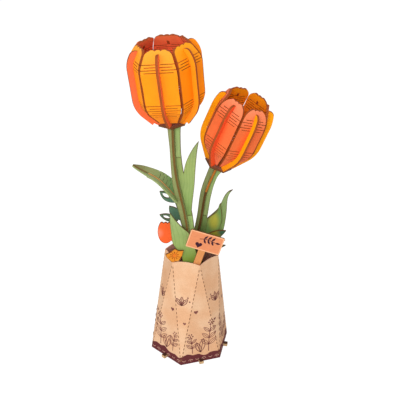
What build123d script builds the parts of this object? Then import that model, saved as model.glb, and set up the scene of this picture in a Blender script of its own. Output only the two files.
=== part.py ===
from build123d import *
from dataclasses import dataclass
import math
import os

# Two wooden tulips with leaves and filler sprigs in a folded card vase.
# Millimetres. The origin is the middle of the vase's foot, on the surface
# that it stands on. The flat faces of the stems look along -Y.

os.makedirs("parts", exist_ok=True)

# Sheet stock and fits
ply = 2.0
thin_ply = 1.6
base_ply = 3.0
card = 0.6
fit_gap = 0.05
running_gap = 0.3
kerf = 0.4
overrun = 10.0
tab_proud = 0.4

# Vase, a folded tube of twelve triangles between two hexagons
sides = 6
front_turn = -90.0
vase_bottom_radius = 42.0
vase_top_radius = 27.1
vase_height = 107.6
vase_turn = 17.8
rim_arch = 2.0
peg_width = 4.2
peg_reach = 4.0

# Wooden frame inside the vase
holder_height = 70.0
leg_inner_radius = 17.5
leg_width = 6.5
leg_tab_width = 3.5

# Stems, each a spine plate seen edge on with wing plates on both sides
left_stem_y = -13.0
left_stem_turn = -7.6
right_stem_y = 13.0
right_stem_turn = -9.3
stem_straight_length = 3.0
stem_half_width = 5.4
spine_depth = 10.0
spine_tab_width = 5.0
wing_tab_length = 4.0
wing_tab_shares = (0.25, 0.55, 0.92)
left_stem_reach = -18.3
left_stem_rise = 167.6
left_end_lean = 3.5
left_head_lean = 5.75
left_head_tilt = 7.9
left_path_shares = [(0.208, 0.399), (0.41, 0.522), (0.727, 0.671), (0.891, 0.787), (0.951, 0.872)]
left_wing_shares = [(0.0, 1.0), (0.45, 1.04), (0.51, 1.15), (0.575, 1.22), (0.72, 0.91), (0.78, 0.78),
                    (0.865, 0.72), (0.95, 0.91), (1.0, 1.0)]
left_right_wing_shares = [(0.0, 1.0), (0.35, 1.04), (0.47, 1.15), (0.74, 1.18), (0.87, 1.09), (0.95, 1.11),
                          (1.0, 1.26)]
right_stem_reach = 23.2
right_stem_rise = 121.4
right_end_lean = 25.0
right_head_lean = 21.1
right_head_tilt = 7.7
right_path_shares = [(0.340, 0.464), (0.461, 0.6285), (0.560, 0.763), (0.733, 0.873)]
right_left_wing_shares = [(0.0, 0.89), (0.6, 0.89), (0.78, 1.0), (0.9, 1.09), (1.0, 1.22)]
right_wing_shares = [(0.0, 1.0), (0.75, 1.02), (0.86, 0.87), (0.93, 0.87), (1.0, 1.26)]
right_spine_joint_share = 0.787

# Blooms, six bent petals with a rib outside each
calyx_radius = 13.5
collar_radius = 9.5
petal_gap = 0.3
petal_clearance = 0.1
petal_lobes = 3
petal_lobe_rise = 0.9
rib_end_margin = 3.8
rib_tab_length = 3.5
rib_top_tab_margin = 8.0
rib_root_radius = 7.5
rib_root_height = 3.5
rib_toe_radius = 14.0
rib_foot_tab_inset = 1.5
rib_foot_tab_width = 2.5
cut_bridge = 4.0
cut_margin = 2.6
petal_side_shares = [(0.48, 0.0), (0.70, 0.06), (0.84, 0.123), (0.95, 0.20), (0.99, 0.283), (1.0, 0.42),
                     (1.0, 0.59), (0.96, 0.806), (0.89, 0.893), (0.71, 0.951), (0.48, 0.985)]

left_petal_width = 31.0
left_foot_radius = 14.9
left_foot_height = 4.5
left_lower_lean = 40.0
left_lower_length = 12.0
left_lower_bend = 14.6
left_wall_lean = 0.6
left_wall_length = 26.0
left_upper_bend = 8.9
left_top_lean = -31.9
left_top_length = 10.6
left_rib_depth = 5.1
left_spin = 0.0
left_upper_cuts = 4
left_lower_cuts = 6

right_petal_width = 25.0
right_foot_radius = 8.1
right_foot_height = 1.0
right_lower_lean = 36.0
right_lower_length = 18.0
right_lower_bend = 17.1
right_wall_lean = -0.6
right_wall_length = 19.8
right_upper_bend = 12.1
right_top_lean = -18.9
right_top_length = 8.4
right_rib_depth = 5.0
right_spin = -30.0
right_upper_cuts = 5
right_lower_cuts = 6

# Leaves in the stems' planes. Their heights are shares of the stem's rise, and
# their offsets are measured from the stem's middle line at that height.
centre_leaf_top_share = 0.919
centre_leaf_bottom_share = 0.475
centre_leaf_wing_top_share = 0.819
centre_leaf_offset = -2.6
centre_leaf_width = 13.2
centre_leaf_right_shares = [(0.93, 0.918), (0.864, 0.802), (0.788, 0.567), (0.758, 0.433), (0.697, 0.297),
                            (0.60, 0.087), (0.60, 0.0)]
centre_leaf_left_shares = [(0.773, 0.95), (0.424, 0.841), (0.212, 0.755), (0.098, 0.688), (0.0, 0.575)]

left_leaf_root_share = 0.57
left_leaf_root_offset = -4.0
left_leaf_reach = 42.3
left_leaf_rise = 31.4
left_leaf_curve_shares = [(0.17, 0.876), (0.35, 0.765), (0.57, 0.60), (0.71, 0.43), (0.89, 0.166),
                          (1.0, 0.0)]
left_leaf_half_width = 24.0
left_leaf_back_shares = [(0.05, 0.20), (0.17, 0.42), (0.35, 0.58), (0.57, 0.75), (0.71, 0.89), (0.89, 1.0),
                         (1.0, 0.98)]
left_leaf_front_shares = [(0.05, 0.06), (0.17, 0.12), (0.35, 0.21), (0.57, 0.28), (0.71, 0.30), (0.89, 0.31),
                          (1.0, 0.28)]
left_leaf_slot_share = 0.30
left_leaf_keel_depth = 4.0
left_leaf_cuts = 8
left_leaf_cut_width = 0.25
left_leaf_cut_spacing = 2.2
left_leaf_cut_start_share = 0.46
left_leaf_cut_reach_share = 0.45

right_leaf_top_share = 0.81
right_leaf_bottom_share = 0.321
right_leaf_wing_top_share = 0.568
right_leaf_offset = 9.3
right_leaf_width = 25.0
right_leaf_left_shares = [(0.86, 0.971), (0.64, 0.828), (0.472, 0.654), (0.264, 0.545), (0.052, 0.45)]
right_leaf_right_shares = [(0.884, 0.927), (0.82, 0.835), (0.80, 0.668), (0.768, 0.43), (0.716, 0.27),
                           (0.60, 0.10)]
right_inner_left_shares = [(0.49, 0.70), (0.46, 0.63), (0.264, 0.535), (0.07, 0.44)]
right_inner_right_shares = [(0.604, 0.622), (0.64, 0.477), (0.592, 0.344), (0.45, 0.18)]
right_inner_tip_share = (0.556, 0.757)
right_inner_offset = 6.3
tip_share = (1.0, 1.0)

# Pieces that stand in the holder beside the stems. A rise is measured from
# the vase's rim, and the rows inside the vase are shares from holder to rim.
# The slotted sprig stays with the stems, so its rises start at the holder.
front_leaf_y = -19.2
front_leaf_left = -20.9
front_leaf_width = 25.6
front_leaf_rise = 0.4
front_leaf_height = 52.4
front_leaf_left_shares = [(0.0, 0.88), (0.03, 0.70), (0.07, 0.52), (0.125, 0.38), (0.26, 0.27), (0.40, 0.17),
                          (0.48, 0.0)]
front_leaf_right_shares = [(0.12, 0.92), (0.305, 0.80), (0.52, 0.69), (0.67, 0.625), (0.88, 0.40),
                           (0.99, 0.20)]
front_leaf_foot_x = -6.2
front_leaf_neck_share = 0.5
front_leaf_tip_share = 0.012

sign_y = -23.6
sign_length = 33.0
sign_height = 18.7
sign_thickness = 1.6
sign_centre_x = 12.6
sign_centre_rise = 24.9
sign_turn = 17.0
sign_corner = 1.0
stake_width = 7.0
stake_foot_drop = 8.0
stake_lap = 12.0

slotted_sprig_y = 0.0
sprig_stalk_width = 2.2
slotted_sprig_leaves = [(-15.5, 90.0, 19.5, 54.0, 9.0), (-10.0, 71.0, 19.5, 39.0, 9.5),
                        (-13.5, 70.5, 19.0, 71.0, 7.6)]
slotted_sprig_inside_shares = []
slotted_sprig_stalk = [(-4.0, 36.0), (-6.5, 56.0), (-10.5, 71.0), (-13.0, 82.0), (-16.0, 91.0)]
sprig_slot_share = 0.42
sprig_slot_start_share = 0.42
leaf_widest_share = 0.55

dark_sprig_y = 1.5
dark_sprig_leaves = [(8.0, -0.1, 28.5, -61.0, 6.6), (9.0, 1.0, 25.5, -74.6, 5.2)]
dark_sprig_inside_shares = [(2.5, 0.56), (6.0, 0.76)]
dark_sprig_stalk = [(8.0, 0.4)]

yellow_leaf_y = -3.5
yellow_leaf_root_x = 8.5
yellow_leaf_rise = 14.4
yellow_leaf_length = 27.5
yellow_leaf_turn = -63.0
yellow_leaf_width = 9.0

bud_y = -4.0
bud_left = -33.1
bud_width = 15.4
bud_rise = 12.2
bud_height = 23.0
bud_shoulder_share = 0.945
bud_top_share = 0.72
bud_side_shares = [(0.0, 0.62), (0.05, 0.30), (0.24, 0.07)]
bud_inside_shares = [(-8.0, 0.56)]
bud_stalk = [(-9.0, 0.4), (-14.0, 10.4), (-24.0, 19.4)]

blossom_left = -24.8
blossom_rise = 1.3
blossom_width = 17.2
blossom_height = 14.7
blossom_outline_shares = [(0.35, 0.0), (0.07, 0.35), (0.0, 0.57), (0.24, 0.70), (0.51, 1.0), (0.73, 0.86),
                          (1.0, 0.89), (0.93, 0.53), (0.74, 0.11)]
blossom_y = -21.2
blossom_stalk_x = -14.0
blossom_stalk_y = -18.4
blossom_hold_height = 5.5
stalk_shoulder_share = 0.5
filler_stalk_width = 5.0

# Values worked out from those above
head_slot_depth = 2 * ply
rib_round_share = 1 - math.sqrt(0.5)
ribbon_steps = 24
peg_count = sides
panel_step = 360 / sides / 2
corner_card = card / math.cos(math.pi / sides)
corner_lean = (vase_bottom_radius - vase_top_radius * math.cos(math.pi / sides)) / vase_height
base_radius = vase_bottom_radius - corner_lean * base_ply - corner_card - fit_gap
holder_top = holder_height + ply
holder_radius = vase_bottom_radius - corner_lean * holder_top - corner_card - fit_gap
stem_clear_height = holder_top + stem_straight_length
front_leaf_bottom = vase_height + front_leaf_rise
sign_centre_z = vase_height + sign_centre_rise
yellow_leaf_root_z = vase_height + yellow_leaf_rise
bud_bottom = vase_height + bud_rise
blossom_bottom = vase_height + blossom_rise
blossom_stalk_top = blossom_bottom + blossom_hold_height
leg_angles = [vase_turn + 2 * panel_step * step for step in (0, 2, 3, 5)]
leg_middle_radius = leg_inner_radius + leg_width / 2
stem_foot = base_ply - ply + running_gap
radial_plane = Plane(origin=(0, 0, 0), x_dir=(0, -1, 0), z_dir=(-1, 0, 0))


@dataclass
class Bloom:
    """The panel of one bloom: its stretches and bends from foot to tip, seen from the side."""

    name: str
    width: float
    foot_radius: float
    foot_height: float
    leans: tuple
    lengths: tuple
    rib_depth: float
    spin: float
    upper_cuts: int
    lower_cuts: int

    def marks(self):
        """Radius, height and lean where each stretch starts, and at the tip."""
        lower, wall, top = self.leans
        radius, height = self.foot_radius, self.foot_height
        result = [(radius, height, lower)]
        leans = [(lower, lower), (lower, wall), (wall, wall), (wall, top), (top, top)]
        for length, (start, end) in zip(self.lengths, leans):
            radius, height = follow(radius, height, start, end, length)
            result.append((radius, height, end))
        return result

    def station(self, distance, offset=0.0):
        """The point at a distance along the outer face, moved outwards by offset."""
        marks = self.marks()
        left = distance
        for index, length in enumerate(self.lengths):
            start, end = marks[index][2], marks[index + 1][2]
            if left <= length or index == len(self.lengths) - 1:
                lean = start + (end - start) * left / length
                radius, height = follow(marks[index][0], marks[index][1], start, lean, left)
                angle = math.radians(lean)
                return radius + offset * math.cos(angle), height - offset * math.sin(angle)
            left -= length

    def total(self):
        return sum(self.lengths)

    def inner_radius(self, height):
        """Radius of the inner face at a height, found by halving."""
        low, high = 0.0, self.total()
        while high - low > fit_gap:
            middle = (low + high) / 2
            if self.station(middle, -ply)[1] < height:
                low = middle
            else:
                high = middle
        return self.station(low, -ply)[0]

    def half_width(self, share, height):
        """Half the petal's width at a height, kept clear of the next petal."""
        wedge = math.tan(math.pi / sides) * self.inner_radius(height) - petal_gap / 2
        return min(share * self.width / 2, wedge)

    def edges(self, offset, first, last):
        """Lines and arcs of the panel's face at an offset, from one distance to another."""
        result = []
        start = 0.0
        for index, length in enumerate(self.lengths):
            low, high = max(first, start), min(last, start + length)
            if high - low > fit_gap:
                stops = (low, (low + high) / 2, high)
                points = [self.station(distance, offset) for distance in stops]
                is_bend = index in (1, 3)
                result.append(ThreePointArc(*points) if is_bend else Line(points[0], points[2]))
            start += length
        return result

    def tab_distances(self):
        """Where the rib's two tabs pass through the petal."""
        return [sum(self.lengths[:2]) + self.lengths[2] / 2, self.total() - rib_top_tab_margin]


@dataclass
class Tulip:
    """One tulip: its stem's middle line, how wide its wings are, and where the bloom sits."""

    foot: Location
    rise: float
    path: Edge
    head: Location
    left_shares: list
    right_shares: list
    tab_heights: list

    def height_at(self, share):
        """The height at a share of the stem's rise."""
        return stem_clear_height + self.rise * share

    def middle_at(self, height):
        """Where the stem's middle line lies at a height."""
        return (self.path @ height_share(self.path, height)).X


def follow(radius, height, start, end, length):
    """Where a straight or evenly bent stretch ends."""
    first, last = math.radians(start), math.radians(end)
    if start == end:
        return radius + length * math.sin(first), height + length * math.cos(first)
    bend_radius = length / (last - first)
    radius += bend_radius * (math.cos(first) - math.cos(last))
    height += bend_radius * (math.sin(last) - math.sin(first))
    return radius, height


def polar(radius, angle, height):
    return Vector(radius * math.cos(math.radians(angle)), radius * math.sin(math.radians(angle)), height)


def plate(face, centre_y, thickness=ply):
    """A flat plate parallel to XZ, cut from a face drawn as (x, z)."""
    return extrude(Plane.XZ.offset(-(centre_y + thickness / 2)) * face, thickness)


def polygon(points):
    return make_face(Polyline(*points, close=True))


def rectangle(x_from, x_to, z_from, z_to):
    return polygon([(x_from, z_from), (x_to, z_from), (x_to, z_to), (x_from, z_to)])


def placed(shares, left, bottom, width, height):
    return [(left + width * across, bottom + height * up) for across, up in shares]


def read_off(shares, at):
    """The value between the table's rows at a share of the way along."""
    for (low, first), (high, last) in zip(shares, shares[1:]):
        if at <= high:
            return first + (last - first) * (at - low) / (high - low)
    return shares[-1][1]


# The vase

def antiprism(bottom_radius, top_radius):
    """A closed solid of twelve triangles between two hexagons turned by half a side."""
    turns = [vase_turn + 2 * panel_step * index for index in range(sides)]
    low = [polar(bottom_radius, turn, 0) for turn in turns]
    high = [polar(top_radius, turn + panel_step, vase_height) for turn in turns]
    faces = [Face(Wire.make_polygon(low)), Face(Wire.make_polygon(high))]
    for index in range(sides):
        after = (index + 1) % sides
        faces.append(Face(Wire.make_polygon([low[index], low[after], high[index]])))
        faces.append(Face(Wire.make_polygon([high[index], low[after], high[after]])))
    return Solid(Shell(faces))


def rim_flap(index):
    """The shallow arch of card that stands above one top edge."""
    foot_turn = vase_turn + 2 * panel_step * (index + 1)
    start = polar(vase_top_radius, foot_turn - panel_step, vase_height)
    end = polar(vase_top_radius, foot_turn + panel_step, vase_height)
    foot = polar(vase_bottom_radius, foot_turn, 0)
    middle = (start + end) / 2
    upward = (middle - foot).normalized()
    normal = (end - start).cross(upward).normalized()
    inward = normal if normal.dot(Vector(middle.X, middle.Y, 0)) < 0 else -normal
    face = make_face([Line(start, end), ThreePointArc(end, middle + upward * rim_arch, start)])
    return extrude(face, card, dir=inward)


def vase_shell():
    shell = antiprism(vase_bottom_radius, vase_top_radius)
    shell -= antiprism(vase_bottom_radius - corner_card, vase_top_radius - corner_card)
    for index in range(sides):
        shell += rim_flap(index)
    slot = Box(vase_bottom_radius, peg_width + 2 * fit_gap, base_ply + fit_gap,
               align=(Align.MIN, Align.CENTER, Align.MIN))
    for index in range(peg_count):
        turn = Rot(0, 0, vase_turn + panel_step + 2 * panel_step * index)
        shell -= turn * Pos(base_radius / 2, 0, 0) * slot
    return shell


def hexagon(radius, height, thickness, turn):
    points = [polar(radius, turn + 2 * panel_step * index, height) for index in range(sides)]
    return extrude(make_face(Wire.make_polygon(points)), thickness, dir=(0, 0, 1))


def base_plate():
    """The wooden foot, with six pegs that pass through the card."""
    base = hexagon(base_radius, 0, base_ply, vase_turn)
    peg_length = vase_bottom_radius * math.cos(math.pi / sides) + peg_reach
    peg = Box(peg_length, peg_width, base_ply, align=(Align.MIN, Align.CENTER, Align.MIN))
    for index in range(peg_count):
        base += Rot(0, 0, vase_turn + panel_step + 2 * panel_step * index) * peg
    for angle in leg_angles:
        base -= leg_slot(angle, base_ply - ply, ply)
    for tulip in (left_tulip, right_tulip):
        base -= stem_socket(tulip, base_ply - ply, ply)
    return base


def leg_slot(angle, bottom, height):
    slot = Box(leg_tab_width + 2 * fit_gap, ply + 2 * fit_gap, height,
               align=(Align.CENTER, Align.CENTER, Align.MIN))
    return Rot(0, 0, angle) * Pos(leg_middle_radius, 0, bottom) * slot


def holder_leg(angle):
    """An upright plate with a tab at each end, between the foot and the holder."""
    upright = Box(leg_width, ply, holder_height - base_ply, align=(Align.CENTER, Align.CENTER, Align.MIN))
    tab_bottom = base_ply - ply + fit_gap
    tab = Box(leg_tab_width, ply, holder_top - tab_bottom, align=(Align.CENTER, Align.CENTER, Align.MIN))
    leg = Pos(0, 0, base_ply) * upright + Pos(0, 0, tab_bottom) * tab
    return Rot(0, 0, angle) * Pos(leg_middle_radius, 0, 0) * leg


def stem_socket(tulip, bottom, height):
    """The cross-shaped hole that a stem's foot stands in."""
    across = Box(2 * stem_half_width + 2 * running_gap, ply + 2 * running_gap, height)
    along = Box(ply + 2 * running_gap, spine_depth + 2 * running_gap, height)
    return tulip.foot * Pos(0, 0, bottom + height / 2) * (across + along)


def holder_plate():
    holder = hexagon(holder_radius, holder_height, ply, vase_turn)
    for angle in leg_angles:
        holder -= leg_slot(angle, holder_height, ply)
    for tulip in (left_tulip, right_tulip):
        holder -= stem_socket(tulip, holder_height, ply)
    for tool in filler_slots():
        holder -= tool
    return holder


def slot_for(centre_x, width, centre_y, gap):
    half = width / 2 + gap
    face = rectangle(centre_x - half, centre_x + half, holder_height - overrun, holder_top + overrun)
    return plate(face, centre_y, thin_ply + 2 * gap)


def stalk_points(inside_shares, above, level=vase_height):
    """The middle line of a stalk: its rows inside the vase, then those above a level."""
    depth = vase_height - holder_top
    points = [(x, holder_top + depth * share) for x, share in inside_shares]
    return points + [(x, level + rise) for x, rise in above]


def filler_slots():
    stalk = filler_stalk_width
    angle = math.radians(sign_turn)
    stake_x = sign_centre_x + (holder_height + ply / 2 - sign_centre_z) * math.tan(angle)
    stake_opening = stake_width / math.cos(angle) + ply * math.tan(angle)
    slots = [slot_for(stake_x, stake_opening, stake_y, running_gap)]
    stalks = [(slotted_sprig_inside_shares, slotted_sprig_stalk, slotted_sprig_y),
              (dark_sprig_inside_shares, dark_sprig_stalk, dark_sprig_y),
              (bud_inside_shares, bud_stalk, bud_y)]
    feet = [(stalk_points(inside, above)[0][0], centre_y) for inside, above, centre_y in stalks]
    feet += [(front_leaf_foot_x, front_leaf_y), (yellow_leaf_root_x, yellow_leaf_y),
             (blossom_stalk_x, blossom_stalk_y)]
    for centre_x, centre_y in feet:
        slots.append(slot_for(centre_x, stalk, centre_y, fit_gap))
    return slots


# The stems

def stem_path(reach, rise, shares, lean):
    points = [(0, stem_clear_height)]
    points += placed(shares, 0, stem_clear_height, reach, rise)
    points.append((reach, stem_clear_height + rise))
    angle = math.radians(lean)
    return Spline(*points, tangents=[(0, 1), (math.copysign(math.sin(angle), reach), math.cos(angle))])


def height_share(path, height):
    """The share of the path's length at which it reaches a height, found by halving."""
    low, high = 0.0, 1.0
    while high - low > fit_gap / path.length:
        middle = (low + high) / 2
        if (path @ middle).Y < height:
            low = middle
        else:
            high = middle
    return low


def beside(path, share, offset):
    """A point to the right of the path by offset, in the stem's plane."""
    spot, direction = path @ share, path % share
    return spot.X + offset * direction.Y, spot.Y - offset * direction.X


def lengthwise_face(near, far):
    """A long face between two rows of points, straight across its ends."""
    return make_face([Spline(*near), Line(near[-1], far[-1]), Spline(*reversed(far)), Line(far[0], near[0])])


def ribbon(path, first, last, near_side, far_side):
    """A face along the path between two offsets, which may change along it."""
    count = max(2, round(ribbon_steps * (last - first)))
    steps = [first + (last - first) * index / count for index in range(count + 1)]
    near = [beside(path, share, near_side(share)) for share in steps]
    far = [beside(path, share, far_side(share)) for share in steps]
    return lengthwise_face(near, far)


def span_shares(path, low_height, high_height):
    """The shares of the path between two heights. None stands for the top."""
    first = height_share(path, low_height) if low_height > stem_clear_height else 0.0
    last = height_share(path, high_height) if high_height else 1.0
    return first, last


def wing_edge(tulip, side, share):
    return side * stem_half_width * read_off(tulip.left_shares if side < 0 else tulip.right_shares, share)


def wing_face(tulip, side, low_height, high_height):
    """One side of the stem between two heights, with its straight foot where it reaches that low."""
    inset = side * (ply / 2 + fit_gap)
    first, last = span_shares(tulip.path, low_height, high_height)
    face = ribbon(tulip.path, first, last, lambda share: inset, lambda share: wing_edge(tulip, side, share))
    if low_height < stem_clear_height:
        face += rectangle(*sorted((inset, wing_edge(tulip, side, 0))), low_height, stem_clear_height)
    return face


def wing(tulip, side, low_height, high_height):
    return plate(wing_face(tulip, side, low_height, high_height), 0)


def wing_tab(path, height, far_side, gap):
    """A tab on the left wing that passes through the spine."""
    share = height_share(path, height)
    half = wing_tab_length / 2 + gap
    spot, direction = path @ share, path % share
    centre = Vector(spot.X, spot.Y)
    along = Vector(direction.X, direction.Y) * half
    across = Vector(direction.Y, -direction.X)
    near, far = centre - across * ply, centre + across * far_side
    points = [near - along, near + along, far + along, far - along]
    return plate(polygon([(point.X, point.Y) for point in points]), 0, ply + 2 * gap)


def spine_plate(tulip, low_height, high_height):
    half = ply / 2
    first, last = span_shares(tulip.path, low_height, high_height)
    face = ribbon(tulip.path, first, last, lambda share: -half, lambda share: half)
    if low_height < stem_clear_height:
        face += rectangle(-half, half, low_height, stem_clear_height)
    spine = plate(face, 0, spine_depth)
    for height in tulip.tab_heights:
        spine -= wing_tab(tulip.path, height, ply, fit_gap)
    return spine


def left_wing(tulip):
    """The wing on the left of the spine, in one length, with its tabs."""
    result = wing(tulip, -1, stem_foot, None)
    for height in tulip.tab_heights:
        result += wing_tab(tulip.path, height, ply / 2, 0)
    return trimmed(result, tulip)


def trimmed(solid, tulip):
    """Cut a stem plate off at the underside of the collar."""
    size = 2 * (calyx_radius + overrun)
    return solid - tulip.head * Box(size, size, size, align=(Align.CENTER, Align.CENTER, Align.MIN))


def topped(spine, tulip):
    """The spine cut off at the collar, with the tab that holds the bloom."""
    tab = Box(ply, spine_tab_width, head_slot_depth, align=(Align.CENTER, Align.CENTER, Align.MIN))
    return trimmed(spine, tulip) + tulip.head * tab


def make_tulip(centre_y, turn, path, lean, tilt, left_shares, right_shares):
    end = path @ 1
    head = Pos(end.X, 0, end.Y) * Rot(tilt, math.copysign(lean, end.X), 0)
    rise = end.Y - stem_clear_height
    tabs = [stem_clear_height + rise * share for share in wing_tab_shares]
    foot = Pos(0, centre_y, 0) * Rot(0, 0, turn)
    return Tulip(foot, rise, path, head, left_shares, right_shares, tabs)


left_tulip = make_tulip(left_stem_y, left_stem_turn,
                        stem_path(left_stem_reach, left_stem_rise, left_path_shares, left_end_lean),
                        left_head_lean, left_head_tilt, left_wing_shares, left_right_wing_shares)
right_tulip = make_tulip(right_stem_y, right_stem_turn,
                         stem_path(right_stem_reach, right_stem_rise, right_path_shares, right_end_lean),
                         right_head_lean, right_head_tilt, right_left_wing_shares, right_wing_shares)


# The blooms

def bloom_slot():
    """The hole that the spine's tab passes through."""
    return Box(ply + 2 * fit_gap, spine_tab_width + 2 * fit_gap, 2 * head_slot_depth + overrun)


def collar_plate(bloom):
    return hexagon(collar_radius, 0, ply, bloom.spin + front_turn) - bloom_slot()


def calyx_plate(bloom):
    calyx = hexagon(calyx_radius, ply, ply, bloom.spin + front_turn) - bloom_slot()
    near = rib_root_radius + rib_foot_tab_inset - fit_gap
    slot = Box(ply + 2 * fit_gap, rib_foot_tab_width + 2 * fit_gap, overrun,
               align=(Align.CENTER, Align.MAX, Align.CENTER))
    for index in range(sides):
        calyx -= Rot(0, 0, bloom.spin + 2 * panel_step * index) * Pos(0, -near, ply + overrun / 2) * slot
    return calyx


def petal_outline(bloom):
    """The petal's flat outline seen from the front, with three shallow lobes along the top."""
    bottom, top = bloom.foot_height, bloom.marks()[-1][1]
    side = []
    for share, up in petal_side_shares:
        height = bottom + (top - bottom) * up
        side.append((bloom.half_width(share, height), height))
    left = [(-across, height) for across, height in side]
    crown_x, crown_z = side[-1]
    lobe_width = 2 * crown_x / petal_lobes
    lobes = []
    for index in range(petal_lobes):
        start = crown_x - index * lobe_width
        lobes.append(ThreePointArc((start, crown_z), (start - lobe_width / 2, crown_z + petal_lobe_rise),
                                   (start - lobe_width, crown_z)))
    foot_x, foot_z = side[0][0], side[0][1] - overrun
    foot_lines = [Line((-foot_x, foot_z), (foot_x, foot_z)), Line((foot_x, foot_z), side[0]),
                  Line(left[0], (-foot_x, foot_z))]
    return make_face(foot_lines + [Spline(*side)] + lobes + [Spline(*reversed(left))])


def strip(bloom, low, high, outer, inner):
    """A thin four-sided face across the panel, between two distances and two offsets."""
    return radial_plane * polygon([bloom.station(low, outer), bloom.station(high, outer),
                                   bloom.station(high, inner), bloom.station(low, inner)])


def flex_cuts(bloom):
    """Cuts across the two bends. Every other one runs out to the edges, with a bridge in the middle."""
    cuts = []
    groups = [(bloom.lengths[0], bloom.lengths[1], bloom.lower_cuts),
              (sum(bloom.lengths[:3]), bloom.lengths[3], bloom.upper_cuts)]
    for start, length, count in groups:
        for index in range(count):
            distance = start + length * (index + 1 / 2) / count
            face = strip(bloom, distance - kerf / 2, distance + kerf / 2, ply / 2, -ply - ply / 2)
            if index % 2:
                reach = bloom.width / 2 - cut_bridge / 2
                outer_cut = extrude(face, reach / 2, both=True)
                for side in (-1, 1):
                    cuts.append(Pos(side * (cut_bridge + reach) / 2, 0, 0) * outer_cut)
            else:
                height = bloom.station(distance)[1]
                cuts.append(extrude(face, bloom.half_width(1, height) - cut_margin, both=True))
    return cuts


def petal(bloom):
    total = bloom.total()
    ends = [Line(bloom.station(total), bloom.station(total, -ply)),
            Line(bloom.station(0, -ply), bloom.station(0))]
    section = make_face(bloom.edges(0, 0, total) + bloom.edges(-ply, 0, total) + ends)
    panel = extrude(radial_plane * section, bloom.width, both=True)
    reach = 2 * total
    panel &= extrude(Plane.XZ * petal_outline(bloom), reach)
    half_angle = math.pi / sides
    wedge = polygon([(0, -petal_clearance), (-reach * math.tan(half_angle), -reach - petal_clearance),
                     (reach * math.tan(half_angle), -reach - petal_clearance)])
    panel &= extrude(Plane.XY * wedge, reach)
    tools = flex_cuts(bloom)
    half_tab = rib_tab_length / 2 + fit_gap
    for distance in bloom.tab_distances():
        face = strip(bloom, distance - half_tab, distance + half_tab, ply, -2 * ply)
        tools.append(extrude(face, ply / 2 + fit_gap, both=True))
    return panel - tools


def rib(bloom):
    """The upright outside a petal, with tabs through it and a foot through the calyx plate."""
    depth = bloom.rib_depth
    end = bloom.total() - rib_end_margin
    shoulder = end - depth
    outer = bloom.edges(depth, 0, shoulder)
    inner = bloom.edges(fit_gap, 0, end)
    low_end = bloom.lengths[0]
    turn_point = bloom.station(end - depth * rib_round_share, depth * (1 - rib_round_share))
    crown = ThreePointArc(bloom.station(shoulder, depth), turn_point, bloom.station(end, fit_gap))
    foot_line = Line(bloom.station(0, fit_gap), bloom.station(0, depth))
    face = make_face(outer + inner + [crown, foot_line])
    face += polygon([bloom.station(0, fit_gap), bloom.station(low_end, depth), (rib_toe_radius, 0),
                     (rib_root_radius, 0), (rib_root_radius, rib_root_height)])
    face -= polygon([bloom.station(0, fit_gap), bloom.station(low_end, fit_gap),
                     (0, bloom.station(low_end)[1]), (0, bloom.station(0, fit_gap)[1])])
    face -= rectangle(0, bloom.width + overrun, -overrun, 0)
    body = extrude(radial_plane * face, ply / 2, both=True)
    for distance in bloom.tab_distances():
        half = rib_tab_length / 2
        tab = strip(bloom, distance - half, distance + half, ply, -ply - tab_proud)
        body += extrude(tab, ply / 2, both=True)
    tab_start = rib_root_radius + rib_foot_tab_inset
    foot = rectangle(tab_start, tab_start + rib_foot_tab_width, -ply, ply / 2)
    return body + extrude(radial_plane * foot, ply / 2, both=True)


def bloom_parts(bloom, tulip):
    """Every piece of one bloom, at its place on the stem."""
    place = tulip.foot * tulip.head
    pieces = {
        bloom.name + "_collar_plate": place * collar_plate(bloom),
        bloom.name + "_calyx_plate": place * calyx_plate(bloom),
    }
    one_petal, one_rib = petal(bloom), rib(bloom)
    for index in range(sides):
        turn = place * Rot(0, 0, bloom.spin + 2 * panel_step * index) * Pos(0, 0, 2 * ply)
        pieces[f"{bloom.name}_petal_{index + 1}"] = turn * one_petal
        pieces[f"{bloom.name}_rib_{index + 1}"] = turn * one_rib
    return pieces


left_bloom = Bloom("left", left_petal_width, left_foot_radius, left_foot_height,
                   (left_lower_lean, left_wall_lean, left_top_lean),
                   (left_lower_length, left_lower_bend, left_wall_length, left_upper_bend, left_top_length),
                   left_rib_depth, left_spin, left_upper_cuts, left_lower_cuts)
right_bloom = Bloom("right", right_petal_width, right_foot_radius, right_foot_height,
                    (right_lower_lean, right_wall_lean, right_top_lean),
                    (right_lower_length, right_lower_bend, right_wall_length, right_upper_bend,
                     right_top_length),
                    right_rib_depth, right_spin, right_upper_cuts, right_lower_cuts)


# Leaves on the stems

def leaf_on_wing(tulip, tip, left, right, low_height, high_height):
    """A flat leaf in one plate with a length of the right wing."""
    path = tulip.path
    inset = ply / 2 + fit_gap
    foot = beside(path, height_share(path, low_height), inset)
    root = beside(path, height_share(path, left[-1][1]), inset)
    blade = make_face([Spline(tip, *right), Line(right[-1], foot), Line(foot, root), Line(root, left[-1]),
                       Spline(*reversed(left), tip)])
    leaf = plate(blade, 0) + wing(tulip, 1, low_height, high_height)
    beyond = ribbon(path, 0, 1, lambda share: -2 * stem_half_width, lambda share: inset)
    return leaf - plate(beyond, 0, 2 * ply) - wing(tulip, 1, stem_foot, low_height)


centre_leaf_top = left_tulip.height_at(centre_leaf_top_share)
centre_leaf_bottom = left_tulip.height_at(centre_leaf_bottom_share)
centre_leaf_wing_top = left_tulip.height_at(centre_leaf_wing_top_share)
right_leaf_top = right_tulip.height_at(right_leaf_top_share)
right_leaf_bottom = right_tulip.height_at(right_leaf_bottom_share)
right_leaf_wing_top = right_tulip.height_at(right_leaf_wing_top_share)


def centre_leaf_points(shares):
    left = left_tulip.middle_at(centre_leaf_bottom) + centre_leaf_offset
    height = centre_leaf_top - centre_leaf_bottom
    return placed(shares, left, centre_leaf_bottom, centre_leaf_width, height)


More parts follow.
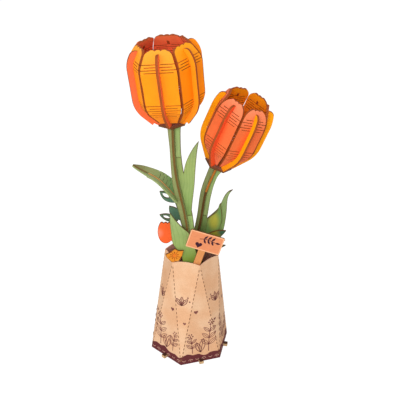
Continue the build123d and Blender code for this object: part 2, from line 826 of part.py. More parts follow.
def centre_leaf():
    tip = centre_leaf_points([tip_share])[0]
    return leaf_on_wing(left_tulip, tip, centre_leaf_points(centre_leaf_left_shares),
                        centre_leaf_points(centre_leaf_right_shares), centre_leaf_bottom,
                        centre_leaf_wing_top)


def right_leaf_points(shares):
    left = right_tulip.middle_at(right_leaf_bottom) + right_leaf_offset
    height = right_leaf_top - right_leaf_bottom
    return placed(shares, left, right_leaf_bottom, right_leaf_width, height)


def right_leaf():
    tip = right_leaf_points([tip_share])[0]
    return leaf_on_wing(right_tulip, tip, right_leaf_points(right_leaf_left_shares),
                        right_leaf_points(right_leaf_right_shares), right_leaf_bottom, right_leaf_wing_top)


def right_leaf_inner():
    """The second blade, laid on the front of the right leaf."""
    tip = right_leaf_points([right_inner_tip_share])[0]
    left = right_leaf_points(right_inner_left_shares)
    right = right_leaf_points(right_inner_right_shares)
    path = right_tulip.path
    foot = beside(path, height_share(path, right[-1][1]), right_inner_offset)
    face = make_face([Spline(tip, *right), Line(right[-1], foot), Line(foot, left[-1]),
                      Spline(*reversed(left), tip)])
    return plate(face, -ply / 2 - fit_gap - thin_ply / 2, thin_ply)


left_leaf_root_z = left_tulip.height_at(left_leaf_root_share)
left_leaf_root_x = left_tulip.middle_at(left_leaf_root_z) + left_leaf_root_offset
left_leaf_tip_x = left_leaf_root_x - left_leaf_reach
left_leaf_tip_z = left_leaf_root_z + left_leaf_rise


def left_leaf_line(drop, first_share):
    """The bent leaf's upper line from a share of the way along it to the root, lowered by drop."""
    frame = (left_leaf_tip_x, left_leaf_root_z, left_leaf_reach, left_leaf_rise)
    points = placed(left_leaf_curve_shares, *frame)
    line = Spline((left_leaf_tip_x, left_leaf_tip_z), *points)
    steps = [first_share + (1 - first_share) * index / ribbon_steps for index in range(ribbon_steps + 1)]
    return [beside(line, step, drop) for step in steps], line


def left_leaf_keel():
    """The upright under the bent leaf, in one plate with the left wing."""
    upper = left_leaf_line(fit_gap, left_leaf_slot_share)[0]
    lower = left_leaf_line(left_leaf_keel_depth, left_leaf_slot_share)[0]
    return plate(lengthwise_face(upper, lower), 0)


def left_leaf_blade():
    """The bent leaf, slotted from its root so that the keel and the wing pass through it."""
    upper, line = left_leaf_line(0, 0)
    lower = left_leaf_line(thin_ply, 0)[0]
    blade = plate(lengthwise_face(upper, lower), 0, 2 * left_leaf_half_width)
    reach = left_leaf_reach

    def edge(shares, side):
        half = side * left_leaf_half_width
        return [(left_leaf_tip_x + reach * along, half * out) for along, out in shares]

    back, front = edge(left_leaf_back_shares, 1), edge(left_leaf_front_shares, -1)
    tip = (left_leaf_tip_x - thin_ply, 0)
    end_x = left_leaf_root_x + overrun
    outline = make_face([Spline(tip, *back), Line(back[-1], (end_x, back[-1][1])),
                         Line((end_x, back[-1][1]), (end_x, front[-1][1])),
                         Line((end_x, front[-1][1]), front[-1]), Spline(*reversed(front), tip)])
    blade &= extrude(Plane.XY * outline, 2 * left_leaf_tip_z)
    slot_start = line @ left_leaf_slot_share
    slot = Box(reach + overrun, ply + 2 * fit_gap, 2 * left_leaf_tip_z,
               align=(Align.MIN, Align.CENTER, Align.CENTER))
    tools = [Pos(slot_start.X - thin_ply, 0, 0) * slot]
    for index in range(left_leaf_cuts):
        share = left_leaf_cut_start_share + index * left_leaf_cut_spacing / line.length
        spot, direction = line @ share, line % share
        cut_length = left_leaf_half_width * left_leaf_cut_reach_share
        start = ply if index % 2 else left_leaf_half_width - cut_length
        cut = Box(left_leaf_cut_width, cut_length, 2 * overrun,
                  align=(Align.CENTER, Align.MIN, Align.CENTER))
        angle = math.degrees(math.atan2(direction.Y, direction.X))
        tools.append(Pos(spot.X, start, spot.Y) * Rot(0, -angle, 0) * cut)
    return blade - tools


# Pieces in the holder

def front_leaf():
    frame = (front_leaf_left, front_leaf_bottom, front_leaf_width, front_leaf_height)
    tip = (front_leaf_left + front_leaf_tip_share * front_leaf_width, front_leaf_bottom + front_leaf_height)
    left, right = placed(front_leaf_left_shares, *frame), placed(front_leaf_right_shares, *frame)
    right.append((right[-1][0], front_leaf_bottom))
    half = filler_stalk_width / 2
    neck_z = holder_top + (front_leaf_bottom - holder_top) * front_leaf_neck_share
    blade = make_face([Spline(tip, *right), Line(right[-1], left[-1]), Spline(*reversed(left), tip)])
    neck = polygon([left[-1], (front_leaf_foot_x - half, neck_z), (front_leaf_foot_x + half, neck_z),
                    right[-1]])
    stalk = rectangle(front_leaf_foot_x - half, front_leaf_foot_x + half, holder_height, neck_z)
    return plate(blade + neck + stalk, front_leaf_y, thin_ply)


stake_y = sign_y + sign_thickness / 2 + fit_gap + thin_ply / 2


def turned_plate(face, centre_y, thickness):
    """A plate drawn upright about the sign's middle, then turned as the sign is."""
    return Pos(sign_centre_x, centre_y, sign_centre_z) * Rot(0, sign_turn, 0) * plate(face, 0, thickness)


def sign_plaque():
    face = fillet(Rectangle(sign_length, sign_height).vertices(), sign_corner)
    return turned_plate(face, sign_y, sign_thickness)


def sign_stake():
    top = -sign_height / 2 + stake_lap
    foot = (holder_height - stake_foot_drop - sign_centre_z) / math.cos(math.radians(sign_turn))
    half = stake_width / 2
    face = polygon([(-half, top), (-half, foot + half), (0, foot), (half, foot + half), (half, top)])
    return turned_plate(face, stake_y, thin_ply)


def leaf_face(root_x, root_z, length, turn, width):
    """A pointed leaf from its root, turned from upright towards the left by turn degrees."""
    widest = length * leaf_widest_share
    right = Spline((0, 0), (width / 2, widest), (0, length))
    left = Spline((0, length), (-width / 2, widest), (0, 0))
    return Pos(root_x, root_z) * Rot(0, 0, turn) * make_face([right, left])


def stalk_face(points):
    """A thin stalk through the points, with its straight foot down to the holder."""
    half = sprig_stalk_width / 2
    x, z = points[0]
    foot_half = filler_stalk_width / 2
    shoulder = holder_top + (z - holder_top) * stalk_shoulder_share
    foot = polygon([(x - foot_half, holder_height), (x + foot_half, holder_height),
                    (x + foot_half, shoulder), (x + half, z), (x + half, z + half),
                    (x - half, z + half), (x - half, z), (x - foot_half, shoulder)])
    return ribbon(Spline(*points), 0, 1, lambda share: -half, lambda share: half) + foot


def sprig(leaves, points, level, centre_y, slotted):
    face = stalk_face(points)
    for root_x, rise, length, turn, width in leaves:
        face += leaf_face(root_x, level + rise, length, turn, width)
    if slotted:
        for root_x, rise, length, turn, width in leaves[::2]:
            angle = math.radians(turn)
            shift = length * sprig_slot_start_share
            slot_x, slot_z = root_x - shift * math.sin(angle), level + rise + shift * math.cos(angle)
            face -= leaf_face(slot_x, slot_z, length * sprig_slot_share, turn, width * sprig_slot_share)
    return plate(face, centre_y, thin_ply)


def yellow_leaf():
    half = filler_stalk_width / 2
    face = leaf_face(yellow_leaf_root_x, yellow_leaf_root_z, yellow_leaf_length, yellow_leaf_turn,
                     yellow_leaf_width)
    face += rectangle(yellow_leaf_root_x - half, yellow_leaf_root_x + half, holder_height,
                      yellow_leaf_root_z + half)
    return plate(face, yellow_leaf_y, thin_ply)


def coral_bud():
    """A closed bud with three lobes along the top, on a stalk that stands in the holder."""
    half = bud_width / 2
    centre = bud_left + half
    shoulder = bud_bottom + bud_height * bud_shoulder_share
    left = [(centre - half * bud_top_share, shoulder)]
    left += placed(bud_side_shares, bud_left, bud_bottom, bud_width, bud_height)
    right = [(2 * centre - x, z) for x, z in left]
    lobe = bud_width * bud_top_share / petal_lobes
    lobes = []
    for index in range(petal_lobes):
        start = left[0][0] + index * lobe
        crest = (start + lobe / 2, bud_bottom + bud_height)
        lobes.append(ThreePointArc((start, shoulder), crest, (start + lobe, shoulder)))
    face = make_face([Spline(*left, (centre, bud_bottom), *reversed(right))] + lobes)
    stalk = stalk_face(stalk_points(bud_inside_shares, bud_stalk))
    return plate(face, bud_y, thin_ply) + plate(stalk, bud_y, thin_ply)


def rim_blossom():
    """A small open bloom with three points, just outside the rim."""
    points = placed(blossom_outline_shares, blossom_left, blossom_bottom, blossom_width, blossom_height)
    return plate(polygon(points), blossom_y, thin_ply)


def blossom_stalk():
    """The small bloom's stalk inside the rim, with the block that carries the bloom."""
    half = filler_stalk_width / 2
    stalk = rectangle(blossom_stalk_x - half, blossom_stalk_x + half, holder_height, blossom_stalk_top)
    front = blossom_stalk_y - thin_ply / 2
    back = blossom_y + thin_ply / 2 + fit_gap
    block = rectangle(blossom_stalk_x - half, blossom_stalk_x + half, blossom_bottom, blossom_stalk_top)
    return plate(stalk, blossom_stalk_y, thin_ply) + plate(block, (front + back) / 2, front - back)


def stem_parts():
    """The spines and the wings, from the foot in the vase to the underside of each collar."""
    left, right = left_tulip, right_tulip
    joint = right.height_at(right_spine_joint_share)
    leaf_base, leaf_top = centre_leaf_bottom - fit_gap, centre_leaf_wing_top + fit_gap
    right_top_foot = right_leaf_wing_top + fit_gap
    pieces = {
        "left_stem_spine": left.foot * topped(spine_plate(left, stem_foot, None), left),
        "left_stem_wing": left.foot * (left_wing(left) + (left_leaf_keel() - spine_space(left))),
        "left_stem_upper_wing": left.foot * trimmed(wing(left, 1, leaf_top, None), left),
        "left_stem_lower_wing": left.foot * wing(left, 1, stem_foot, leaf_base),
        "right_stem_lower_spine": right.foot * spine_plate(right, stem_foot, joint - fit_gap),
        "right_stem_upper_spine": right.foot * topped(spine_plate(right, joint, None), right),
        "right_stem_wing": right.foot * left_wing(right),
        "right_stem_upper_wing": right.foot * trimmed(wing(right, 1, right_top_foot, None), right),
        "right_stem_lower_wing": right.foot * wing(right, 1, stem_foot, right_leaf_bottom - fit_gap),
    }
    return pieces


def spine_space(tulip):
    """Everything to the right of the left wing's inner edge."""
    inset = ply / 2 + fit_gap
    face = ribbon(tulip.path, 0, 1, lambda share: -inset, lambda share: 2 * stem_half_width)
    return plate(face, 0, 2 * ply)


def all_parts():
    pieces = {
        "vase_shell": vase_shell(),
        "base_plate": base_plate(),
        "holder_plate": holder_plate(),
    }
    for number, angle in enumerate(leg_angles):
        pieces[f"holder_leg_{number + 1}"] = holder_leg(angle)
    pieces.update(stem_parts())
    pieces.update(bloom_parts(left_bloom, left_tulip))
    pieces.update(bloom_parts(right_bloom, right_tulip))
    pieces["centre_leaf"] = left_tulip.foot * centre_leaf()
    pieces["left_leaf_blade"] = left_tulip.foot * left_leaf_blade()
    pieces["right_leaf"] = right_tulip.foot * right_leaf()
    pieces["right_leaf_inner"] = right_tulip.foot * right_leaf_inner()
    pieces["front_leaf"] = front_leaf()
    pieces["sign_plaque"] = sign_plaque()
    pieces["sign_stake"] = sign_stake()
    slotted_points = stalk_points(slotted_sprig_inside_shares, slotted_sprig_stalk, holder_top)
    pieces["slotted_sprig"] = sprig(slotted_sprig_leaves, slotted_points, holder_top, slotted_sprig_y, True)
    dark_points = stalk_points(dark_sprig_inside_shares, dark_sprig_stalk)
    pieces["dark_sprig"] = sprig(dark_sprig_leaves, dark_points, vase_height, dark_sprig_y, False)
    pieces["yellow_leaf"] = yellow_leaf()
    pieces["coral_bud"] = coral_bud()
    pieces["rim_blossom"] = rim_blossom()
    pieces["blossom_stalk"] = blossom_stalk()
    return pieces


for node, shape in all_parts().items():
    export_step(shape, f"parts/{node}.step")
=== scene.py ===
import math

import bpy
import numpy as np
from mathutils import Matrix, Vector


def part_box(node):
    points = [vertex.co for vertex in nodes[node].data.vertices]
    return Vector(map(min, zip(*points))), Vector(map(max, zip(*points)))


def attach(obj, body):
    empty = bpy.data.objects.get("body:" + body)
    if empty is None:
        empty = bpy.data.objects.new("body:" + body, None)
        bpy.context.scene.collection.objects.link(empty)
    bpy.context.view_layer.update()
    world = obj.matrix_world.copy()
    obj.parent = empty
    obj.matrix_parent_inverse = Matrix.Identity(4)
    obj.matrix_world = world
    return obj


# Two wooden tulips, leaves and sprigs in a folded card vase.
# Metres, in the frame of the CAD model: +Z up, the flat stems look along -Y.

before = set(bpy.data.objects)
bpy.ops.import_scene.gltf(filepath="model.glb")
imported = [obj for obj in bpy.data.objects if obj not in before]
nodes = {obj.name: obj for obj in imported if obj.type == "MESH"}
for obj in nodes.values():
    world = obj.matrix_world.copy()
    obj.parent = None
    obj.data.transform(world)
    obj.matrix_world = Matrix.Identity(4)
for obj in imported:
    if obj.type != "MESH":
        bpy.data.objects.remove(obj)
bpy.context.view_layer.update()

mm = 0.001
origin = (0, 0, 0)
rightward = Vector((1, 0, 0))
backward = Vector((0, 1, 0))
upward = Vector((0, 0, 1))

# Camera, as the photograph was taken
photo_side = 400
focal_pixels = 600
sensor_width = 36.0
nearest_seen = 0.01
farthest_seen = 100.0
camera_place = (0.0, -515.5 * mm, 409.2 * mm)
camera_yaw = math.radians(0.79)
camera_pitch = math.radians(25.35)
camera_roll = math.radians(1.36)

# Light
world_strength = 0.62
aim_point = (0.0, 0.0, 0.16)
key_power = 8.8
key_size = 0.6
key_place = (-0.20, -1.15, 0.66)
side_power = 3.0
side_size = 0.6
side_place = (-0.90, -0.80, 0.50)
fill_power = 2.5
fill_size = 1.0
fill_place = (0.9, 0.2, 0.9)
floor_size = 30.0
floor_albedo = (0.80, 0.80, 0.80)
floor_shade_share = 0.26
floor_glow = 0.88

# Surface of the wood and the card
burn_width = 0.45 * mm
# Leaves and stems have a wider dark rim: partly burnt edge, partly painted shade along their edges and in the
# gaps beside the spines
leaf_burn_and_shade_width = 1.4 * mm
spine_burn_width = 0.5 * mm
bevel_samples = 6
rim_likeness_share = (0.90, 0.995)
face_share = (0.66, 0.74)
bent_face_share = (0.5, 0.6)
side_switch_share = (-0.1, 0.1)
layer_reach = (0.2 * mm, 0.5 * mm)
grain_length = 12.0 * mm
grain_width = 0.45 * mm
mottle_size = 11.0 * mm
speckle_size = 0.8 * mm
cloud_size = 26.0 * mm
cloud_share = (0.35, 0.65)
smooth_detail = 1.0
plain_detail = 2.0
rich_detail = 3.0
fibre_detail = 4.0
plain_coarseness = 0.5
fibre_coarseness = 0.7
bump_height = 0.05 * mm
bump_strength = 0.6
paint_roughness = 0.62
card_roughness = 0.78
specular_level = 0.12
middle_share = 0.5

# How strongly each layer of wear, burning and ink shows
sheet_wear_share = 0.16
bloom_wear_share = 0.12
mottle_times_wear = 2
side_streak_share = 0.35
layer_share = 0.55
sheet_rim_share = 0.85
plaque_rim_share = 0.5
petal_rim_share = 0.85
rib_rim_share = 0.7
dark_rim_share = 0.8
card_fibre_share = 0.35
inside_fibre_share = 0.4
ink_patch_share = 0.6

# Blooms
petal_numbers = range(1, 7)
front_petals = (1, 6)
petal_wall_start_share = 0.35
petal_wall_end_share = 0.72
# Beside each rib the petal's outer wall turns deeper: partly print, partly painted shade cast by the rib
tint_and_shade_reach = (1.0 * mm, 7.0 * mm)
tint_and_shade_start_share = (0.1, 0.35)
tint_and_shade_end_share = (0.6, 0.85)
tint_and_shade_share = 0.5
rib_glow_reach_share = 0.5
rib_glow_share = 0.25

# Leaves
vein_gap = 2.6 * mm
stem_vein_gap = 3.4 * mm
front_leaf_vein_gap = 4.2 * mm
vein_width_share = 0.10
vein_waver_size = 22.0 * mm
vein_waver_gaps = 2.2
stem_vein_share = 0.35
leaf_vein_share = 0.4
centre_leaf_vein_share = 0.5
slotted_sprig_vein_share = 0.25
dark_sprig_vein_share = 0.2
keel_tan_inset = 6.0 * mm
keel_tan_blur = 0.5 * mm
facing_up_share = (0.4, 0.6)
keel_blur = 1.0 * mm
keel_line_reach = 1.5 * mm
keel_line_blur = 0.3 * mm
keel_line_share = 0.8

# Soft spots of a second colour
round_spot = (1, 1, 1)
inner_leaf_spot_shift = Vector((0.5, 0, -2)) * mm
inner_leaf_spot_radius = 6.0 * mm
inner_leaf_spot_blur = 4.0 * mm
inner_leaf_spot_shape = (0.75, 1, 1.45)
yellow_tip_radius = 8.0 * mm
yellow_tip_blur = 3.0 * mm
bud_spot_drop = 12.0 * mm
bud_spot_radius = 4.5 * mm
bud_spot_blur = 3.0 * mm
blossom_spot_radius = 1.5 * mm
blossom_spot_blur = 1.3 * mm

# Plaque border and the dark band round the vase
plaque_border_reach = (0.9 * mm, 1.3 * mm)
vase_outside_share = (0.0, 0.3)
band_height = 8.0 * mm
band_waves = ((18.0, 0.9 * mm), (7.0, 1.4 * mm))
band_rough_size = 5.0 * mm
band_rough_height = 1.8 * mm
band_blur = 0.25 * mm

# Printed lines
print_lift = 0.06 * mm
line_width = 0.75 * mm
fine_line = 0.55 * mm
dash_length = 2.4 * mm
dash_gap = 1.9 * mm
dash_width = 0.75 * mm
dot_sides = 12
leaf_steps = 8
leaf_share = 0.38
midrib_share = 0.8
heart_steps = 24
heart_width = 16
heart_waves = (13, -5, -2, -1)
ink_patch = 1.5 * mm

# Measuring the nodes and finding the vase's corners
vase_corners = 6
level_tolerance = 0.05 * mm
level_digits = 4
middle_moment_weight = 9
corner_spacing = 5.0 * mm
rim_depth = 5.0 * mm

# Prints low on each facet: height, lean, pairs of leaves and leaf length of a sprig
stalk_steps = 6
sprig_leaf_turns = (48, -48)
sprig_top_pairs = 1.4
sprig_leaf_low_share = 1.15
sprig_leaf_taper_share = 0.5
head_dots = 6
head_radius = 2.5 * mm
berry_radius = 0.85 * mm
print_offset = 8.5 * mm
print_foot = 11.0 * mm
tall_sprig = (33.0 * mm, 3.0 * mm, 3, 10.5 * mm)
short_sprig = (20.0 * mm, -2.0 * mm, 2, 8.0 * mm)
low_leaves = ((13.0 * mm, 20), (16.0 * mm, -12))
low_heart_place = (-4.5 * mm, 47.0 * mm)
low_heart_size = 4.4 * mm

# Prints high on each facet, measured down from the rim
high_leaf_place = (-2.5 * mm, -44.0 * mm)
high_leaf_length = 9.5 * mm
high_leaf_turns = (38, 0, -38)
high_dots = ((3.5 * mm, -35.0 * mm), (5.5 * mm, -39.0 * mm))
high_heart_place = (1.5 * mm, -63.0 * mm)
high_heart_size = 3.2 * mm

# Arches and bowls along the dark band
band_count = 6
arch_height = 2.4 * mm
arch_radius = 2.3 * mm
arch_turns = (20, 160)
arch_dot_height = 2.8 * mm
bowl_height = 5.0 * mm
bowl_radius = 1.8 * mm
bowl_turns = (200, 340)
small_dot_radius = 0.6 * mm

# Plaque print
plaque_heart_place = (-5.2 * mm, -4.2 * mm)
plaque_heart_size = 6.6 * mm
branch_steps = 4
branch_start = -6.0 * mm
branch_length = 15.0 * mm
branch_height = 2.2 * mm
branch_bow = 1.2 * mm
branch_leaf_length = 5.2 * mm
branch_leaf_turns = (-35, -145)
branch_end_turn = -90

# Small open bloom's print
blossom_petals = 5
stamen_first_turn = 20
stamen_start = 1.6 * mm
stamen_end = 3.6 * mm
petal_line_end = 6.0 * mm

# Colours of burnt and bare wood, 0 to 255
white = (255, 255, 255)
char_edge = (84, 47, 24)
char_layer = (118, 72, 38)
char_rim = (96, 56, 26)
bloom_edge = (164, 80, 34)
bloom_rim = (146, 78, 30)
# Leaf rim colour: partly burnt edge, partly painted shade
leaf_burn_and_shade_rim = (88, 74, 34)
pale_edge = (206, 172, 128)
bare_wood = (216, 176, 126)
foot_dark = (78, 48, 36)
stake_tan = (212, 142, 84)

# Colours of stems and leaves
stem_dark_green = (138, 148, 90)
stem_light_green = (152, 172, 108)
stem_tip_green = (152, 180, 108)
stem_shade_green = (146, 152, 100)
spine_brown = (112, 84, 38)
spine_low_brown = (94, 64, 26)
spine_orange = (186, 112, 40)
spine_brown_rim = (70, 42, 20)
spine_orange_rim = (110, 62, 28)
leaf_deep_green = (126, 182, 104)
leaf_grey_green = (166, 182, 124)
leaf_tip_brown = (128, 122, 68)
bent_leaf_edge = (146, 160, 104)
bent_leaf_rim = (84, 82, 48)
keel_tan = (232, 172, 96)
keel_brown = (126, 92, 40)
inner_leaf_green = (112, 146, 80)
leaf_yellow = (176, 172, 66)
yellow_leaf_olive = (138, 136, 40)
yellow_leaf_tip = (56, 92, 66)
vein_green = (112, 138, 72)
sprig_green = (84, 118, 96)
sprig_dark_green = (66, 98, 78)
sprig_shade_green = (46, 78, 66)

# Colours of the blooms
light_petal_top = (246, 164, 50)
light_petal_wall = (250, 146, 14)
light_petal_foot = (248, 142, 28)
# The deeper colours beside the ribs, here and below, are partly print and partly painted shade from the rib
light_petal_tint_and_shade = (254, 150, 30)
deep_petal_top = (254, 168, 24)
deep_petal_wall = (255, 138, 0)
deep_petal_foot = (255, 152, 14)
deep_petal_tint_and_shade = (255, 132, 8)
left_inner_top = (255, 134, 82)
left_inner_foot = (255, 102, 64)
salmon_petal_top = (246, 138, 96)
salmon_petal_wall = (232, 108, 56)
salmon_petal_foot = (244, 128, 88)
salmon_petal_tint_and_shade = (234, 76, 28)
right_inner_top = (255, 162, 18)
right_inner_foot = (255, 140, 26)
rib_coral = (242, 110, 64)
rib_orange = (254, 152, 22)
rib_yellow = (250, 166, 4)
# One face of the right bloom's first rib: painted shade, reddened by a painted reflection of the petals
rib_shade_red = (244, 88, 44)
rib_glow = (240, 110, 40)
calyx_top = (150, 112, 92)
bud_coral = (250, 102, 46)
bud_pink = (250, 136, 104)
blossom_orange = (220, 136, 36)
blossom_dot = (222, 104, 28)
blossom_line = (170, 66, 24)

# Colours of the plaque and the vase
plaque_peach = (220, 138, 94)
plaque_border = (238, 176, 132)
plaque_rim = (176, 116, 80)
plaque_ink = (62, 30, 44)
kraft = (224, 185, 150)
kraft_warm = (217, 169, 130)
kraft_ink = (128, 78, 70)
fold_brown = (134, 92, 62)
band_wine = (96, 44, 46)
band_ink = (196, 150, 132)
vase_inside = (236, 178, 160)

# Shades that a texture lays over a colour, from its low places to its high ones
mottle_shares = [(0.25, (214, 214, 214)), (0.75, white)]
streak_shares = [(0.30, (176, 164, 150)), (0.62, white)]
side_streak_shares = [(0.35, (120, 100, 90)), (0.65, white)]
fibre_shares = [(0.35, (206, 186, 166)), (0.6, white)]
inside_fibre_shares = [(0.35, (190, 180, 170)), (0.6, white)]
ink_shares = [(0.3, (205, 205, 205)), (0.7, white)]

# Colours along each plate, from its low or left end to its other end
left_wing_shares = [(0.0, stem_dark_green), (0.45, stem_dark_green), (1.0, stem_shade_green)]
right_wing_shares = [(0.0, stem_light_green), (0.5, stem_light_green), (1.0, stem_tip_green)]
centre_leaf_shares = [(0.0, (122, 152, 80)), (0.35, (144, 166, 98)), (0.7, (148, 165, 96)),
                      (1.0, (138, 154, 102))]
front_leaf_shares = [(0.0, (108, 138, 46)), (0.45, (118, 142, 54)), (0.62, (144, 166, 94)),
                     (1.0, (152, 172, 112))]
right_leaf_shares = [(0.0, (114, 142, 76)), (0.5, (130, 154, 90)), (0.95, (142, 162, 108)),
                     (0.975, (40, 44, 30))]
slotted_sprig_shares = [(0.0, sprig_dark_green), (1.0, sprig_green)]
dark_sprig_shares = [(0.0, sprig_dark_green), (1.0, sprig_shade_green)]
bent_leaf_back_shares = [(0.0, leaf_tip_brown), (0.30, (168, 180, 116)), (0.58, (158, 188, 116)),
                         (0.78, leaf_deep_green), (1.0, (94, 150, 82))]
bent_leaf_front_shares = [(0.0, leaf_tip_brown), (0.3, leaf_grey_green), (0.8, (156, 178, 112)),
                          (1.0, (148, 174, 100))]


def linear(colour):
    """A colour of 0 to 255 as the linear values that the shader takes."""
    result = []
    for value in colour:
        part = value / 255
        result.append(part / 12.92 if part <= 0.04045 else ((part + 0.055) / 1.055) ** 2.4)
    return (*result, 1.0)


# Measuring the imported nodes

def triangles(thing):
    mesh = thing.data
    mesh.calc_loop_triangles()
    points = np.array([vertex.co for vertex in mesh.vertices], float)
    return points[np.array([face.vertices[:] for face in mesh.loop_triangles])]


def measure(thing):
    """Area-weighted middle, and the main directions from the longest to the shortest.

    A triangle's spread is that of its three corners and, with its own weight, of its middle.
    """
    corners = triangles(thing)
    cross = np.cross(corners[:, 1] - corners[:, 0], corners[:, 2] - corners[:, 0])
    area = np.linalg.norm(cross, axis=1)
    centre = corners.mean(axis=1)
    middle = (centre * area[:, None]).sum(0) / area.sum()
    spread = np.zeros((3, 3))
    for points, weight, centroid in zip(corners - middle, area, centre - middle):
        spread += weight * (points.T @ points + middle_moment_weight * np.outer(centroid, centroid))
    _, axes = np.linalg.eigh(spread)
    long, wide, flat = (Vector(axes[:, index]) for index in (2, 1, 0))
    return Vector(middle), long, wide, flat


def turned(direction, guide):
    """A direction or its opposite, whichever leans towards the guide."""
    return -direction if direction.dot(guide) < 0 else direction


def reach(thing, direction):
    """How far the node reaches along a direction, as lowest and highest value."""
    values = [Vector(vertex.co).dot(direction) for vertex in thing.data.vertices]
    return min(values), max(values)


def half_size(thing, direction):
    low, high = reach(thing, direction)
    return (high - low) / 2


def middle_of(node):
    low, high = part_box(node)
    return (low + high) / 2


# Building materials from nodes

class Paint:
    """A material under construction, with short calls for its nodes."""

    def __init__(self, name):
        self.material = bpy.data.materials.new(name)
        self.material.use_nodes = True
        self.tree = self.material.node_tree
        self.tree.nodes.clear()
        self.output = self.tree.nodes.new("ShaderNodeOutputMaterial")
        self.shader = self.tree.nodes.new("ShaderNodeBsdfPrincipled")
        self.tree.links.new(self.shader.outputs["BSDF"], self.output.inputs["Surface"])
        coordinates = self.tree.nodes.new("ShaderNodeTexCoord")
        self.place = coordinates.outputs["Object"]
        geometry = self.tree.nodes.new("ShaderNodeNewGeometry")
        self.normal = geometry.outputs["True Normal"]

    def put(self, socket, value):
        if isinstance(value, bpy.types.NodeSocket):
            self.tree.links.new(value, socket)
        else:
            socket.default_value = value

    def value(self, operation, *inputs, clamp=False):
        node = self.tree.nodes.new("ShaderNodeMath")
        node.operation = operation
        node.use_clamp = clamp
        for socket, given in zip(node.inputs, inputs):
            self.put(socket, given)
        return node.outputs[0]

    def times(self, first, second):
        return self.value("MULTIPLY", first, second)

    def plus(self, first, second):
        return self.value("ADD", first, second)

    def less(self, first, second):
        return self.value("SUBTRACT", first, second)

    def rest(self, share):
        """What is left of 1 beside a share."""
        return self.less(1.0, share)

    def size(self, value):
        return self.value("ABSOLUTE", value)

    def vector(self, operation, *inputs):
        node = self.tree.nodes.new("ShaderNodeVectorMath")
        node.operation = operation
        for socket, given in zip(node.inputs, inputs):
            self.put(socket, given)
        return node.outputs["Value" if operation in ("DOT_PRODUCT", "LENGTH") else "Vector"]

    def along(self, start, direction):
        """The distance of the shaded point from a start along a direction."""
        offset = self.vector("SUBTRACT", self.place, tuple(start))
        return self.vector("DOT_PRODUCT", offset, tuple(direction))

    def share_along(self, thing, direction):
        """0 at the node's low end along a direction and 1 at its high end."""
        low, high = reach(thing, direction)
        offset = self.less(self.along(origin, direction), low)
        return self.value("DIVIDE", offset, high - low, clamp=True)

    def facing(self, direction):
        return self.vector("DOT_PRODUCT", self.normal, tuple(direction))

    def is_face(self, flat, limits=face_share):
        """1 on the two broad faces of a sheet and 0 on its cut sides."""
        return self.step(self.size(self.facing(flat)), *limits)

    def step(self, value, low, high):
        """A smooth step from 0 at low to 1 at high."""
        node = self.tree.nodes.new("ShaderNodeMapRange")
        node.interpolation_type = "SMOOTHSTEP"
        self.put(node.inputs["Value"], value)
        self.put(node.inputs["From Min"], low)
        self.put(node.inputs["From Max"], high)
        return node.outputs["Result"]

    def mix(self, factor, first, second, blend="MIX"):
        node = self.tree.nodes.new("ShaderNodeMix")
        node.data_type = "RGBA"
        node.blend_type = blend
        node.clamp_result = True
        self.put(node.inputs["Factor"], factor)
        for socket, given in ((node.inputs[6], first), (node.inputs[7], second)):
            self.put(socket, linear(given) if isinstance(given, tuple) and len(given) == 3 else given)
        return node.outputs[2]

    def blend_along(self, value, colour_shares):
        """A colour that runs through a table, each row a share and a colour."""
        ramp = self.tree.nodes.new("ShaderNodeValToRGB")
        elements = ramp.color_ramp.elements
        while len(elements) < len(colour_shares):
            elements.new(middle_share)
        for element, (share, colour) in zip(elements, colour_shares):
            element.position = share
            element.color = linear(colour)
        self.put(ramp.inputs["Fac"], value)
        return ramp.outputs["Color"]

    def textured(self, colour, texture, shade_shares, strength):
        """A colour, shaded by a texture through a table of shades."""
        return self.mix(strength, colour, self.blend_along(texture, shade_shares), "MULTIPLY")

    def noise(self, size, detail=plain_detail, where=None, coarseness=plain_coarseness):
        node = self.tree.nodes.new("ShaderNodeTexNoise")
        self.put(node.inputs["Vector"], where or self.place)
        node.inputs["Scale"].default_value = 1 / size
        node.inputs["Detail"].default_value = detail
        node.inputs["Roughness"].default_value = coarseness
        return node.outputs["Fac"]

    def grain(self, long, wide, flat):
        """Fine streaks along the sheet's grain."""
        parts = [self.value("DIVIDE", self.along(origin, direction), size)
                 for direction, size in ((long, grain_length), (wide, grain_width), (flat, grain_width))]
        node = self.tree.nodes.new("ShaderNodeCombineXYZ")
        for socket, part in zip(node.inputs, parts):
            self.put(socket, part)
        return self.noise(1.0, detail=rich_detail, where=node.outputs[0])

    def rimmed(self, colour, rim_colour, strength, width=burn_width):
        """A colour with another one close to the sharp edges of the solid."""
        node = self.tree.nodes.new("ShaderNodeBevel")
        node.samples = bevel_samples
        node.inputs["Radius"].default_value = width
        likeness = self.vector("DOT_PRODUCT", node.outputs["Normal"], self.normal)
        rim = self.rest(self.step(likeness, *rim_likeness_share))
        return self.mix(self.times(rim, strength), colour, rim_colour)

    def finish(self, colour, height, roughness=paint_roughness):
        self.put(self.shader.inputs["Base Color"], colour)
        self.shader.inputs["Roughness"].default_value = roughness
        self.shader.inputs["Specular IOR Level"].default_value = specular_level
        bump = self.tree.nodes.new("ShaderNodeBump")
        bump.inputs["Strength"].default_value = bump_strength
        bump.inputs["Distance"].default_value = bump_height
        self.put(bump.inputs["Height"], height)
        self.tree.links.new(bump.outputs["Normal"], self.shader.inputs["Normal"])
        return self.material


def wear(paint, colour, grain, strength=sheet_wear_share):
    """Watercolour mottling and grain over a colour."""
    mottle = paint.noise(mottle_size, detail=rich_detail)
    mottled = paint.textured(colour, mottle, mottle_shares, strength * mottle_times_wear)
    return paint.textured(mottled, grain, streak_shares, strength)


